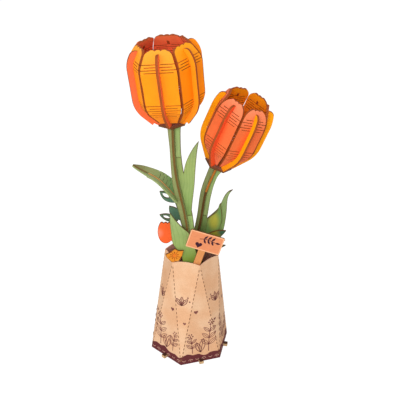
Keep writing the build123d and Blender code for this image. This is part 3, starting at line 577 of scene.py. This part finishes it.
def cut_side(paint, colour, grain):
    """The cut side of a sheet, streaked along its grain."""
    return paint.textured(colour, grain, side_streak_shares, side_streak_share)


def charred_side(paint, grain, flat, middle):
    """A cut side that is charred, with the sheet's layers just showing."""
    layer = paint.step(paint.size(paint.along(middle, flat)), *layer_reach)
    colour = paint.mix(paint.times(layer, layer_share), char_layer, char_edge)
    return cut_side(paint, colour, grain)


def painted_sheet(name, thing, face_colour, rim_colour=char_rim, rim_strength=sheet_rim_share,
                  rim_width=burn_width, side_colour=None):
    """A flat painted plate: face_colour gives the printed face, side_colour a change to its cut side."""
    middle, long, wide, flat = measure(thing)
    long = turned(long, upward)
    wide = turned(wide, rightward)
    paint = Paint(name)
    grain = paint.grain(long, wide, flat)
    face = wear(paint, face_colour(paint, middle, long, wide), grain)
    face = paint.rimmed(face, rim_colour, rim_strength, rim_width)
    side = charred_side(paint, grain, flat, middle)
    if side_colour:
        side = side_colour(paint, side)
    return paint.finish(paint.mix(paint.is_face(flat), side, face), height=grain)


def dress(thing, material):
    """Give a node its material in every slot."""
    if not thing.data.materials:
        thing.data.materials.append(material)
    for slot in thing.material_slots:
        slot.material = material


# The blooms

def bloom_frame(side):
    """The bloom's foot and axis, and the outward direction of each of its petals."""
    middles = [measure(nodes[f"{side}_petal_{number}"])[0] for number in petal_numbers]
    centre = sum(middles, Vector()) / len(middles)
    foot = measure(nodes[f"{side}_calyx_plate"])[0]
    axis = (centre - foot).normalized()
    outwards = []
    for middle in middles:
        offset = middle - foot
        outwards.append((offset - axis * offset.dot(axis)).normalized())
    return foot, axis, outwards


def bloom_sheet(paint, colour, grain, flat, rim_strength):
    """Wear, a burnt rim and browned cut sides on a plate of the bloom."""
    face = wear(paint, colour, grain, bloom_wear_share)
    face = paint.rimmed(face, bloom_rim, rim_strength)
    side = cut_side(paint, bloom_edge, grain)
    return paint.finish(paint.mix(paint.is_face(flat), side, face), height=grain)


def petal_material(name, thing, foot, axis, outward, outer_shares, inner_shares, tint_and_shade):
    """A petal: a run of colours up each side of it, and a deeper colour of its outer wall beside the rib,
    partly print and partly painted shade from the rib.
    """
    paint = Paint(name)
    across = axis.cross(outward)
    share = paint.share_along(thing, axis)
    sideways = paint.size(paint.along(foot, across))
    grain = paint.grain(axis, across, outward)
    # Deeper colour beside the rib: partly print, partly painted shade from the rib
    near_rib = paint.rest(paint.step(sideways, *tint_and_shade_reach))
    above_foot = paint.step(share, *tint_and_shade_start_share)
    below_top = paint.rest(paint.step(share, *tint_and_shade_end_share))
    tinted_and_shaded = paint.times(near_rib, paint.times(above_foot, below_top))
    outer = paint.mix(paint.times(tinted_and_shaded, tint_and_shade_share), paint.blend_along(share, outer_shares), tint_and_shade)
    inner = paint.blend_along(share, inner_shares)
    outside = paint.step(paint.facing(outward), *side_switch_share)
    return bloom_sheet(paint, paint.mix(outside, inner, outer), grain, outward, petal_rim_share)


def rib_material(name, thing, axis, across, left_colour, right_colour):
    """A rib: one colour on each of its two flat faces, warmer towards its foot."""
    paint = Paint(name)
    grain = paint.grain(axis, across.cross(axis), across)
    colour = paint.mix(paint.step(paint.facing(across), *side_switch_share), left_colour, right_colour)
    near_foot = paint.rest(paint.step(paint.share_along(thing, axis), 0.0, rib_glow_reach_share))
    colour = paint.mix(paint.times(near_foot, rib_glow_share), colour, rib_glow)
    return bloom_sheet(paint, colour, grain, across, rib_rim_share)


def dress_bloom(side, outer_runs, inner_run, tints_and_shades, rib_colours):
    """Give each petal and rib of a bloom its material, from one row for each petal."""
    foot, axis, outwards = bloom_frame(side)
    rows = zip(petal_numbers, outwards, outer_runs, tints_and_shades, rib_colours)
    for number, outward, outer_run, tint_and_shade, colours in rows:
        petal_name = f"{side}_petal_{number}"
        rib_name = f"{side}_rib_{number}"
        dress(nodes[petal_name], petal_material(petal_name + "_paint", nodes[petal_name], foot, axis, outward,
                                                outer_run, inner_run, tint_and_shade))
        dress(nodes[rib_name], rib_material(rib_name + "_paint", nodes[rib_name], axis, axis.cross(outward),
                                            *colours))


def petal_shares(foot, wall, top):
    return [(0.0, foot), (petal_wall_start_share, wall), (petal_wall_end_share, wall), (1.0, top)]


def inner_petal_shares(foot, top):
    return [(0.0, foot), (petal_wall_end_share, foot), (1.0, top)]


def in_front(front, other):
    """One row for each petal, with another value for the petals in front."""
    return [front if number in front_petals else other for number in petal_numbers]


light_petal = petal_shares(light_petal_foot, light_petal_wall, light_petal_top)
deep_petal = petal_shares(deep_petal_foot, deep_petal_wall, deep_petal_top)
salmon_petal = petal_shares(salmon_petal_foot, salmon_petal_wall, salmon_petal_top)
petal_count = len(petal_numbers)
dress_bloom("left", in_front(light_petal, deep_petal), inner_petal_shares(left_inner_foot, left_inner_top),
            in_front(light_petal_tint_and_shade, deep_petal_tint_and_shade), [(rib_orange, rib_coral)] * petal_count)
# The right bloom's first rib has one face red: painted shade with a painted reflection of the petals
dress_bloom("right", [salmon_petal] * petal_count, inner_petal_shares(right_inner_foot, right_inner_top),
            [salmon_petal_tint_and_shade] * petal_count,
            [(rib_yellow, rib_shade_red)] + [(rib_yellow, rib_yellow)] * (petal_count - 1))


# Stems, leaves and the other flat plates

def veined_face(thing, colour_shares, vein_strength, gap):
    """A leaf's printed face: a run of colours along it and wavering veins lengthwise."""
    def face(paint, middle, long, wide):
        colour = paint.blend_along(paint.share_along(thing, long), colour_shares)
        waver = paint.times(paint.noise(vein_waver_size, detail=smooth_detail), vein_waver_gaps)
        across = paint.value("DIVIDE", paint.along(middle, wide), gap)
        phase = paint.value("FRACT", paint.plus(across, waver))
        distance = paint.size(paint.less(phase, middle_share))
        line = paint.rest(paint.step(distance, vein_width_share / 2, vein_width_share))
        return paint.mix(paint.times(line, vein_strength), colour, vein_green)
    return face


def plain_face(colour):
    """A face of one colour."""
    def face(paint, middle, long, wide):
        return colour
    return face


def spotted_face(colour, spot_colour, place, radius, blur, shape=round_spot):
    """A plain face with a soft round or oval spot of a second colour."""
    def face(paint, middle, long, wide):
        offset = paint.vector("DIVIDE", paint.vector("SUBTRACT", paint.place, tuple(place)), shape)
        inside = paint.rest(paint.step(paint.vector("LENGTH", offset), radius - blur, radius + blur))
        return paint.mix(inside, colour, spot_colour)
    return face


def dress_leaf(node, colour_shares, vein_strength, gap=vein_gap, side_colour=None):
    thing = nodes[node]
    face = veined_face(thing, colour_shares, vein_strength, gap)
    # A wide dark rim, partly burnt edge and partly painted shade
    dress(thing, painted_sheet(node + "_paint", thing, face, rim_colour=leaf_burn_and_shade_rim, rim_width=leaf_burn_and_shade_width,
                               side_colour=side_colour))


def dress_plain(node, colour):
    dress(nodes[node], painted_sheet(node + "_paint", nodes[node], plain_face(colour)))


def dress_spotted(node, *colours_and_spot):
    face = spotted_face(*colours_and_spot)
    # A wide dark rim, partly burnt edge and partly painted shade
    dress(nodes[node], painted_sheet(node + "_paint", nodes[node], face, rim_width=leaf_burn_and_shade_width))


leaf_root_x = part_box("left_leaf_blade")[1].x - keel_tan_inset


def keel_side(paint, side):
    """The bent leaf's upright shows a bare tan edge in the leaf's slot."""
    facing_up = paint.step(paint.facing(upward), *facing_up_share)
    beyond = paint.step(paint.along((leaf_root_x, 0, 0), -rightward), -keel_tan_blur, keel_tan_blur)
    return paint.mix(paint.times(facing_up, beyond), side, keel_tan)


dress_leaf("left_stem_wing", left_wing_shares, stem_vein_share, stem_vein_gap, side_colour=keel_side)
dress_leaf("right_stem_wing", left_wing_shares, stem_vein_share, stem_vein_gap)
for node in ("left_stem_upper_wing", "left_stem_lower_wing",
             "right_stem_upper_wing", "right_stem_lower_wing"):
    dress_leaf(node, right_wing_shares, stem_vein_share, stem_vein_gap)
dress_leaf("centre_leaf", centre_leaf_shares, centre_leaf_vein_share)
dress_leaf("front_leaf", front_leaf_shares, leaf_vein_share, front_leaf_vein_gap)
dress_leaf("right_leaf", right_leaf_shares, leaf_vein_share)
dress_leaf("slotted_sprig", slotted_sprig_shares, slotted_sprig_vein_share)
dress_leaf("dark_sprig", dark_sprig_shares, dark_sprig_vein_share)
dress_plain("sign_stake", stake_tan)
for node in ("holder_plate", "holder_leg_1", "holder_leg_2", "holder_leg_3", "holder_leg_4",
             "blossom_stalk"):
    dress_plain(node, bare_wood)
for node in ("left_collar_plate", "left_calyx_plate", "right_collar_plate", "right_calyx_plate"):
    dress_plain(node, calyx_top)

bud_low, bud_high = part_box("coral_bud")
bud_spot_place = Vector((bud_low.x, (bud_low.y + bud_high.y) / 2, bud_high.z - bud_spot_drop))
dress_spotted("right_leaf_inner", inner_leaf_green, leaf_yellow,
              middle_of("right_leaf_inner") + inner_leaf_spot_shift,
              inner_leaf_spot_radius, inner_leaf_spot_blur, inner_leaf_spot_shape)
dress_spotted("yellow_leaf", yellow_leaf_olive, yellow_leaf_tip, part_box("yellow_leaf")[1],
              yellow_tip_radius, yellow_tip_blur)
dress_spotted("coral_bud", bud_coral, bud_pink, bud_spot_place, bud_spot_radius, bud_spot_blur)
dress_spotted("rim_blossom", blossom_orange, blossom_dot, middle_of("rim_blossom"),
              blossom_spot_radius, blossom_spot_blur)


def spine_material(name, colour, rim_colour):
    """A spine: its edges brown or orange with a darker rim, its broad sides green."""
    paint = Paint(name)
    grain = paint.grain(upward, rightward, backward)
    edge = paint.rimmed(wear(paint, colour, grain), rim_colour, dark_rim_share, spine_burn_width)
    side = wear(paint, stem_shade_green, grain)
    return paint.finish(paint.mix(paint.is_face(backward), side, edge), height=grain)


for node, name, colour, rim_colour in (
        ("left_stem_spine", "left_spine_paint", spine_brown, spine_brown_rim),
        ("right_stem_lower_spine", "right_lower_spine_paint", spine_low_brown, spine_brown_rim),
        ("right_stem_upper_spine", "right_upper_spine_paint", spine_orange, spine_orange_rim)):
    dress(nodes[node], spine_material(name, colour, rim_colour))


def bent_leaf_material(thing):
    """The bent leaf: its back half deep green, its front half grey green, brown towards the tip."""
    paint = Paint("left_leaf_blade_paint")
    _, long, wide, flat = measure(thing)
    long = turned(long, rightward)
    share = paint.share_along(thing, long)
    grain = paint.grain(long, wide, flat)
    keel_middle, _, _, keel_flat = measure(nodes["left_stem_wing"])
    from_keel = paint.along(keel_middle, turned(keel_flat, backward))
    behind = paint.step(from_keel, -keel_blur, keel_blur)
    back = paint.blend_along(share, bent_leaf_back_shares)
    front = paint.blend_along(share, bent_leaf_front_shares)
    face = wear(paint, paint.mix(behind, front, back), grain)
    far = paint.step(paint.size(from_keel), keel_line_reach, keel_line_reach + keel_line_blur)
    face = paint.mix(paint.times(paint.rest(far), keel_line_share), face, keel_brown)
    face = paint.rimmed(face, bent_leaf_rim, dark_rim_share)
    side = cut_side(paint, bent_leaf_edge, grain)
    return paint.finish(paint.mix(paint.is_face(flat, bent_face_share), side, face), height=grain)


dress(nodes["left_leaf_blade"], bent_leaf_material(nodes["left_leaf_blade"]))


def plaque_face(paint, middle, long, wide):
    """The plaque: peach with a paler border line."""
    plaque = nodes["sign_plaque"]
    across = paint.less(half_size(plaque, long), paint.size(paint.along(middle, long)))
    above = paint.less(half_size(plaque, wide), paint.size(paint.along(middle, wide)))
    inset = paint.value("MINIMUM", across, above)
    border = paint.rest(paint.step(inset, *plaque_border_reach))
    return paint.mix(border, plaque_peach, plaque_border)


dress(nodes["sign_plaque"], painted_sheet("sign_plaque_paint", nodes["sign_plaque"], plaque_face,
                                          rim_colour=plaque_rim, rim_strength=plaque_rim_share))


# The vase

def vase_material():
    """Brown card with fibres and a wavy dark band at its foot, and a pink inside."""
    paint = Paint("vase_card_paint")
    parts = paint.tree.nodes.new("ShaderNodeSeparateXYZ")
    paint.put(parts.inputs[0], paint.place)
    x, y, z = parts.outputs[:]
    level_place = paint.tree.nodes.new("ShaderNodeCombineXYZ")
    paint.put(level_place.inputs[0], x)
    paint.put(level_place.inputs[1], y)
    outward = paint.vector("NORMALIZE", level_place.outputs[0])
    outside = paint.step(paint.vector("DOT_PRODUCT", paint.normal, outward), *vase_outside_share)
    fibres = paint.noise(speckle_size, detail=fibre_detail, coarseness=fibre_coarseness)
    cloud = paint.noise(cloud_size, detail=rich_detail)
    card = paint.mix(paint.step(cloud, *cloud_share), kraft, kraft_warm)
    card = paint.textured(card, fibres, fibre_shares, card_fibre_share)
    angle = paint.value("ARCTAN2", y, x)
    waves = [paint.times(paint.value("SINE", paint.times(angle, count)), height)
             for count, height in band_waves]
    rough = paint.times(paint.noise(band_rough_size, detail=smooth_detail), band_rough_height)
    over = paint.less(z, paint.plus(paint.plus(*waves), paint.plus(rough, band_height)))
    card = paint.mix(paint.rest(paint.step(over, -band_blur, band_blur)), card, band_wine)
    inside = paint.textured(vase_inside, fibres, inside_fibre_shares, inside_fibre_share)
    return paint.finish(paint.mix(outside, inside, card), height=fibres, roughness=card_roughness)


def foot_material():
    """The foot: a dark top face with pale cut sides where the pegs end."""
    paint = Paint("foot_paint")
    grain = paint.grain(rightward, backward, upward)
    dark = wear(paint, foot_dark, grain)
    pale = paint.rimmed(wear(paint, pale_edge, grain), char_rim, dark_rim_share)
    return paint.finish(paint.mix(paint.is_face(upward), pale, dark), height=grain)


dress(nodes["vase_shell"], vase_material())
dress(nodes["base_plate"], foot_material())


# Printed lines, as thin closed shapes on the sheet

class Print:
    """Thin shapes drawn on one sheet, in its own plane: across along u, up along v."""

    def __init__(self):
        self.points = []
        self.lifts = []
        self.faces = []

    def sheet(self, start, across, up):
        """The sheet to draw on from here: a point of it and the directions of u and v."""
        self.start = Vector(start)
        self.across = Vector(across).normalized()
        self.up = (Vector(up) - self.across * Vector(up).dot(self.across)).normalized()

    def shifted(self, u, v):
        """The same sheet, drawn on from another point of it."""
        self.start = self.start + self.across * u + self.up * v

    def add(self, u, v):
        self.points.append(self.start + self.across * u + self.up * v)
        self.lifts.append(self.across.cross(self.up) * print_lift)
        return len(self.points) - 1

    def shape(self, outline):
        self.faces.append([self.add(u, v) for u, v in outline])

    def stroke(self, line, width):
        """A line of even width through the points."""
        spots = [Vector(point) for point in line]
        rows = []
        for index, spot in enumerate(spots):
            before = spots[max(index - 1, 0)]
            after = spots[min(index + 1, len(spots) - 1)]
            run = (after - before).normalized()
            side = Vector((-run.y, run.x)) * width / 2
            rows.append((self.add(*(spot - side)), self.add(*(spot + side))))
        for (low, high), (next_low, next_high) in zip(rows, rows[1:]):
            self.faces.append([low, next_low, next_high, high])

    def dot(self, u, v, radius):
        turns = [2 * math.pi * index / dot_sides for index in range(dot_sides)]
        self.shape([(u + radius * math.cos(turn), v + radius * math.sin(turn)) for turn in turns])

    def arc(self, u, v, radius, start, end, width):
        turns = [math.radians(start + (end - start) * index / dot_sides) for index in range(dot_sides + 1)]
        self.stroke([(u + radius * math.cos(turn), v + radius * math.sin(turn)) for turn in turns], width)

    def leaf(self, u, v, length, turn, width):
        """A pointed leaf in outline from its root, turned from upright towards the left."""
        right, left, root, along = leaf_sides(u, v, length, turn)
        self.stroke(right, width)
        self.stroke(left, width)
        self.stroke([root, root + along * length * midrib_share], width)

    def full_leaf(self, u, v, length, turn):
        right, left, _, _ = leaf_sides(u, v, length, turn)
        self.shape(right + left[-2:0:-1])

    def heart(self, u, v, size):
        outline = []
        for index in range(heart_steps):
            turn = 2 * math.pi * index / heart_steps
            across = heart_width * math.sin(turn) ** 3
            above = sum(height * math.cos(count * turn) for count, height in enumerate(heart_waves, start=1))
            outline.append((u - across * size / (2 * heart_width), v + above * size / (2 * heart_width)))
        self.shape(outline)

    def make(self, name, body, material):
        """The drawn faces, their undersides and the narrow walls between them."""
        count = len(self.points)
        points = [point + lift for point, lift in zip(self.points, self.lifts)]
        points += [point - lift for point, lift in zip(self.points, self.lifts)]
        runs = {(face[index - 1], face[index]) for face in self.faces for index in range(len(face))}
        borders = [(start, end) for start, end in sorted(runs) if (end, start) not in runs]
        walls = [(end, start, start + count, end + count) for start, end in borders]
        under = [[corner + count for corner in reversed(face)] for face in self.faces]
        mesh = bpy.data.meshes.new(name)
        mesh.from_pydata(points, [], self.faces + under + walls)
        mesh.materials.append(material)
        thing = bpy.data.objects.new(name, mesh)
        bpy.context.collection.objects.link(thing)
        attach(thing, body)


def leaf_sides(u, v, length, turn):
    """Both edges of a pointed leaf, its root and its direction."""
    angle = math.radians(turn)
    along = Vector((-math.sin(angle), math.cos(angle)))
    beside = Vector((math.cos(angle), math.sin(angle)))
    root = Vector((u, v))
    half = length * leaf_share / 2
    steps = [index / leaf_steps for index in range(leaf_steps + 1)]
    right = [root + along * length * step + beside * half * math.sin(math.pi * step) for step in steps]
    left = [root + along * length * step - beside * half * math.sin(math.pi * step) for step in steps]
    return right, left, root, along


def ink(name, colour):
    """Printed or burnt ink, a little uneven."""
    paint = Paint(name)
    patches = paint.noise(ink_patch)
    shaded = paint.textured(colour, patches, ink_shares, ink_patch_share)
    return paint.finish(shaded, height=patches, roughness=card_roughness)


def turn_of(point):
    return math.atan2(point.y, point.x)


def corners_at(thing, height):
    """The outermost points of the vase at a height, in order round it."""
    points = [vertex.co.copy() for vertex in thing.data.vertices
              if abs(vertex.co.z - height) < level_tolerance]
    points.sort(key=lambda point: -math.hypot(point.x, point.y))
    chosen = []
    for point in points:
        apart = all((point - other).length > corner_spacing for other in chosen)
        if len(chosen) < vase_corners and apart:
            chosen.append(point)
    return sorted(chosen, key=turn_of)


def top_height(thing):
    """The height of the vase's upper corners: the level with most points near the rim."""
    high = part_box("vase_shell")[1].z
    levels = {}
    for vertex in thing.data.vertices:
        if high - rim_depth < vertex.co.z:
            level = round(vertex.co.z, level_digits)
            levels[level] = levels.get(level, 0) + 1
    return max(levels, key=levels.get)


shell = nodes["vase_shell"]
low_corners = corners_at(shell, 0.0)
high_corners = corners_at(shell, top_height(shell))


def next_high(low_corner):
    """The upper corner that follows a lower corner, going round anticlockwise."""
    start = turn_of(low_corner)
    return min(high_corners, key=lambda point: (turn_of(point) - start) % (2 * math.pi))


def sprig_print(draw, side, height, lean, pairs, leaf_length):
    """A stalk with pairs of leaves and a round head of dots."""
    lean = lean * side
    steps = [index / stalk_steps for index in range(stalk_steps + 1)]
    draw.stroke([(lean * step ** 2, height * step) for step in steps], line_width)
    for index in range(pairs):
        share = (index + 1) / (pairs + sprig_top_pairs)
        length = leaf_length * (sprig_leaf_low_share - sprig_leaf_taper_share * share)
        for turn in sprig_leaf_turns:
            draw.leaf(lean * share ** 2, height * share, length, turn, fine_line)
    for index in range(head_dots):
        angle = 2 * math.pi * index / head_dots
        draw.dot(lean + head_radius * math.cos(angle), height + head_radius * math.sin(angle), berry_radius)
    draw.dot(lean, height, berry_radius)


def low_print(draw, side):
    """The print in the lower corner of a facet that stands on the vase's bottom edge."""
    draw.shifted(print_offset * side, print_foot)
    sprig_print(draw, side, *tall_sprig)
    draw.shifted(-2 * print_offset * side, 0)
    sprig_print(draw, side, *short_sprig)
    draw.shifted(print_offset * side, 0)
    for length, turn in low_leaves:
        draw.leaf(0, 0, length, turn, line_width)
    u, v = low_heart_place
    draw.heart(u * side, v, low_heart_size)


def high_print(draw, side):
    """The print on a facet that hangs from one of the rim's edges."""
    u, v = high_leaf_place
    for turn in high_leaf_turns:
        draw.leaf(u * side, v, high_leaf_length, turn, line_width)
    for u, v in high_dots:
        draw.dot(u * side, v, berry_radius)
    u, v = high_heart_place
    draw.heart(u * side, v, high_heart_size)


def band_motifs(draw, length):
    """A row of arches and bowls along the dark band."""
    spots = [length * ((index + middle_share) / band_count - middle_share) for index in range(band_count)]
    for index, spot in enumerate(spots):
        if index % 2:
            draw.arc(spot, arch_height, arch_radius, *arch_turns, fine_line)
            draw.dot(spot, arch_dot_height, small_dot_radius)
        else:
            draw.arc(spot, bowl_height, bowl_radius, *bowl_turns, fine_line)


def fold_dashes(draw, foot, top, centre):
    """Short burnt dashes on one side of a fold."""
    outward = (top - foot).cross(centre - foot)
    flipped = outward.dot(Vector((centre.x, centre.y, 0))) < 0
    start, end = (top, foot) if flipped else (foot, top)
    draw.sheet(start, end - start, centre - start)
    pitch = dash_length + dash_gap
    count = int((top - foot).length / pitch)
    for index in range(1, count):
        near = index * pitch
        far = near + dash_length
        draw.shape([(near, 0), (far, 0), (far, dash_width / 2), (near, dash_width / 2)])


def vase_prints():
    """The prints on all twelve facets, the band's motifs and the dashes along the folds."""
    brown = Print()
    pale = Print()
    folds = Print()
    for number, low in enumerate(low_corners):
        after = low_corners[(number + 1) % len(low_corners)]
        peak = next_high(low)
        place = high_corners.index(peak)
        earlier = high_corners[place - 1]
        later = high_corners[(place + 1) % len(high_corners)]
        side = 1 if number % 2 else -1
        middle = (low + after) / 2
        for draw in (brown, pale):
            draw.sheet(middle, after - low, peak - middle)
        low_print(brown, side)
        band_motifs(pale, (after - low).length)
        rim_middle = (earlier + peak) / 2
        brown.sheet(rim_middle, peak - earlier, rim_middle - low)
        high_print(brown, side)
        facet = (low + after + peak) / 3
        fold_dashes(folds, after, peak, facet)
        fold_dashes(folds, after, peak, (peak + after + later) / 3)
        fold_dashes(folds, low, peak, facet)
        fold_dashes(folds, low, peak, (low + earlier + peak) / 3)
    brown.make("vase_print", "vase", ink("print_brown_ink", kraft_ink))
    pale.make("band_print", "vase", ink("print_pale_ink", band_ink))
    folds.make("fold_lines", "vase", ink("fold_burn", fold_brown))


def plaque_print():
    """A heart and a leafy branch on the plaque."""
    plaque = nodes["sign_plaque"]
    middle, long, wide, _ = measure(plaque)
    front = min(vertex.co.y for vertex in plaque.data.vertices)
    draw = Print()
    draw.sheet((middle.x, front, middle.z), turned(long, rightward), turned(wide, upward))
    draw.heart(*plaque_heart_place, plaque_heart_size)
    steps = [index / branch_steps for index in range(branch_steps + 1)]
    branch = [(branch_length * step + branch_start, branch_height + branch_bow * math.sin(math.pi * step))
              for step in steps]
    draw.stroke(branch, fine_line)
    for u, v in branch[1:-1]:
        for turn in branch_leaf_turns:
            draw.full_leaf(u, v, branch_leaf_length, turn)
    draw.full_leaf(*branch[-1], branch_leaf_length, branch_end_turn)
    draw.make("plaque_print", "sign", ink("plaque_ink", plaque_ink))


def blossom_print():
    """Stamens, and lines between the petals, on the small open bloom."""
    low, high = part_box("rim_blossom")
    draw = Print()
    draw.sheet(((low.x + high.x) / 2, low.y, (low.z + high.z) / 2), rightward, upward)
    for number in range(blossom_petals):
        stamen_turn = math.radians(stamen_first_turn) + 2 * math.pi * number / blossom_petals
        line_turn = stamen_turn + math.pi / blossom_petals
        tip = Vector((math.cos(stamen_turn), math.sin(stamen_turn)))
        between = Vector((math.cos(line_turn), math.sin(line_turn)))
        draw.stroke([tip * stamen_start, tip * stamen_end], fine_line)
        draw.dot(*(tip * stamen_end), small_dot_radius)
        draw.stroke([between * stamen_start, between * petal_line_end], fine_line)
    draw.make("blossom_print", "vase", ink("blossom_ink", blossom_line))


vase_prints()
plaque_print()
blossom_print()


# The floor, the lamps and the camera

def white_world():
    """Plain light on the object, and white behind it, also where gloss or glass shows it."""
    world = bpy.data.worlds.new("studio")
    bpy.context.scene.world = world
    world.use_nodes = True
    tree = world.node_tree
    tree.nodes.clear()
    output = tree.nodes.new("ShaderNodeOutputWorld")
    rays = tree.nodes.new("ShaderNodeLightPath")
    seen = rays.outputs["Is Camera Ray"]
    for ray in ("Is Glossy Ray", "Is Transmission Ray"):
        either = tree.nodes.new("ShaderNodeMath")
        either.operation = "MAXIMUM"
        tree.links.new(seen, either.inputs[0])
        tree.links.new(rays.outputs[ray], either.inputs[1])
        seen = either.outputs[0]
    strength = tree.nodes.new("ShaderNodeMapRange")
    tree.links.new(seen, strength.inputs["Value"])
    strength.inputs["To Min"].default_value = world_strength
    strength.inputs["To Max"].default_value = 1.0
    background = tree.nodes.new("ShaderNodeBackground")
    tree.links.new(strength.outputs["Result"], background.inputs["Strength"])
    background.inputs["Color"].default_value = (1.0, 1.0, 1.0, 1.0)
    tree.links.new(background.outputs[0], output.inputs["Surface"])


def floor():
    """A white floor that keeps the object's shadow."""
    bpy.ops.mesh.primitive_plane_add(size=floor_size, location=origin)
    thing = bpy.context.object
    thing.name = "floor"
    material = bpy.data.materials.new("floor_white")
    material.use_nodes = True
    tree = material.node_tree
    tree.nodes.clear()
    output = tree.nodes.new("ShaderNodeOutputMaterial")
    rays = tree.nodes.new("ShaderNodeLightPath")
    plain = tree.nodes.new("ShaderNodeBsdfDiffuse")
    plain.inputs["Color"].default_value = (*floor_albedo, 1.0)
    shaded = tree.nodes.new("ShaderNodeBsdfDiffuse")
    shaded.inputs["Color"].default_value = (floor_shade_share,) * 3 + (1.0,)
    glow = tree.nodes.new("ShaderNodeEmission")
    glow.inputs["Strength"].default_value = floor_glow
    both = tree.nodes.new("ShaderNodeAddShader")
    tree.links.new(shaded.outputs[0], both.inputs[0])
    tree.links.new(glow.outputs[0], both.inputs[1])
    choice = tree.nodes.new("ShaderNodeMixShader")
    tree.links.new(rays.outputs["Is Camera Ray"], choice.inputs[0])
    tree.links.new(plain.outputs[0], choice.inputs[1])
    tree.links.new(both.outputs[0], choice.inputs[2])
    tree.links.new(choice.outputs[0], output.inputs["Surface"])
    thing.data.materials.append(material)


def soft_lamp(name, power, size, place):
    light = bpy.data.lights.new(name, "AREA")
    light.energy = power
    light.size = size
    thing = bpy.data.objects.new(name, light)
    bpy.context.collection.objects.link(thing)
    thing.location = place
    thing.rotation_mode = "QUATERNION"
    thing.rotation_quaternion = (Vector(aim_point) - Vector(place)).to_track_quat("-Z", "Y")


def photo_camera():
    camera = bpy.data.cameras.new("camera")
    camera.sensor_width = sensor_width
    camera.lens = sensor_width * focal_pixels / photo_side
    camera.clip_start = nearest_seen
    camera.clip_end = farthest_seen
    thing = bpy.data.objects.new("camera", camera)
    bpy.context.collection.objects.link(thing)
    forward = Vector((math.sin(camera_yaw) * math.cos(camera_pitch),
                      math.cos(camera_yaw) * math.cos(camera_pitch),
                      -math.sin(camera_pitch)))
    level = Vector((math.cos(camera_yaw), -math.sin(camera_yaw), 0))
    up = level.cross(forward)
    right = math.cos(camera_roll) * level + math.sin(camera_roll) * up
    above = math.cos(camera_roll) * up - math.sin(camera_roll) * level
    axes = Matrix((right, above, -forward)).transposed()
    thing.matrix_world = Matrix.Translation(camera_place) @ axes.to_4x4()
    bpy.context.scene.camera = thing


white_world()
floor()
soft_lamp("key", key_power, key_size, key_place)
soft_lamp("side", side_power, side_size, side_place)
soft_lamp("fill", fill_power, fill_size, fill_place)
photo_camera()
bpy.context.scene.view_settings.view_transform = "Standard"
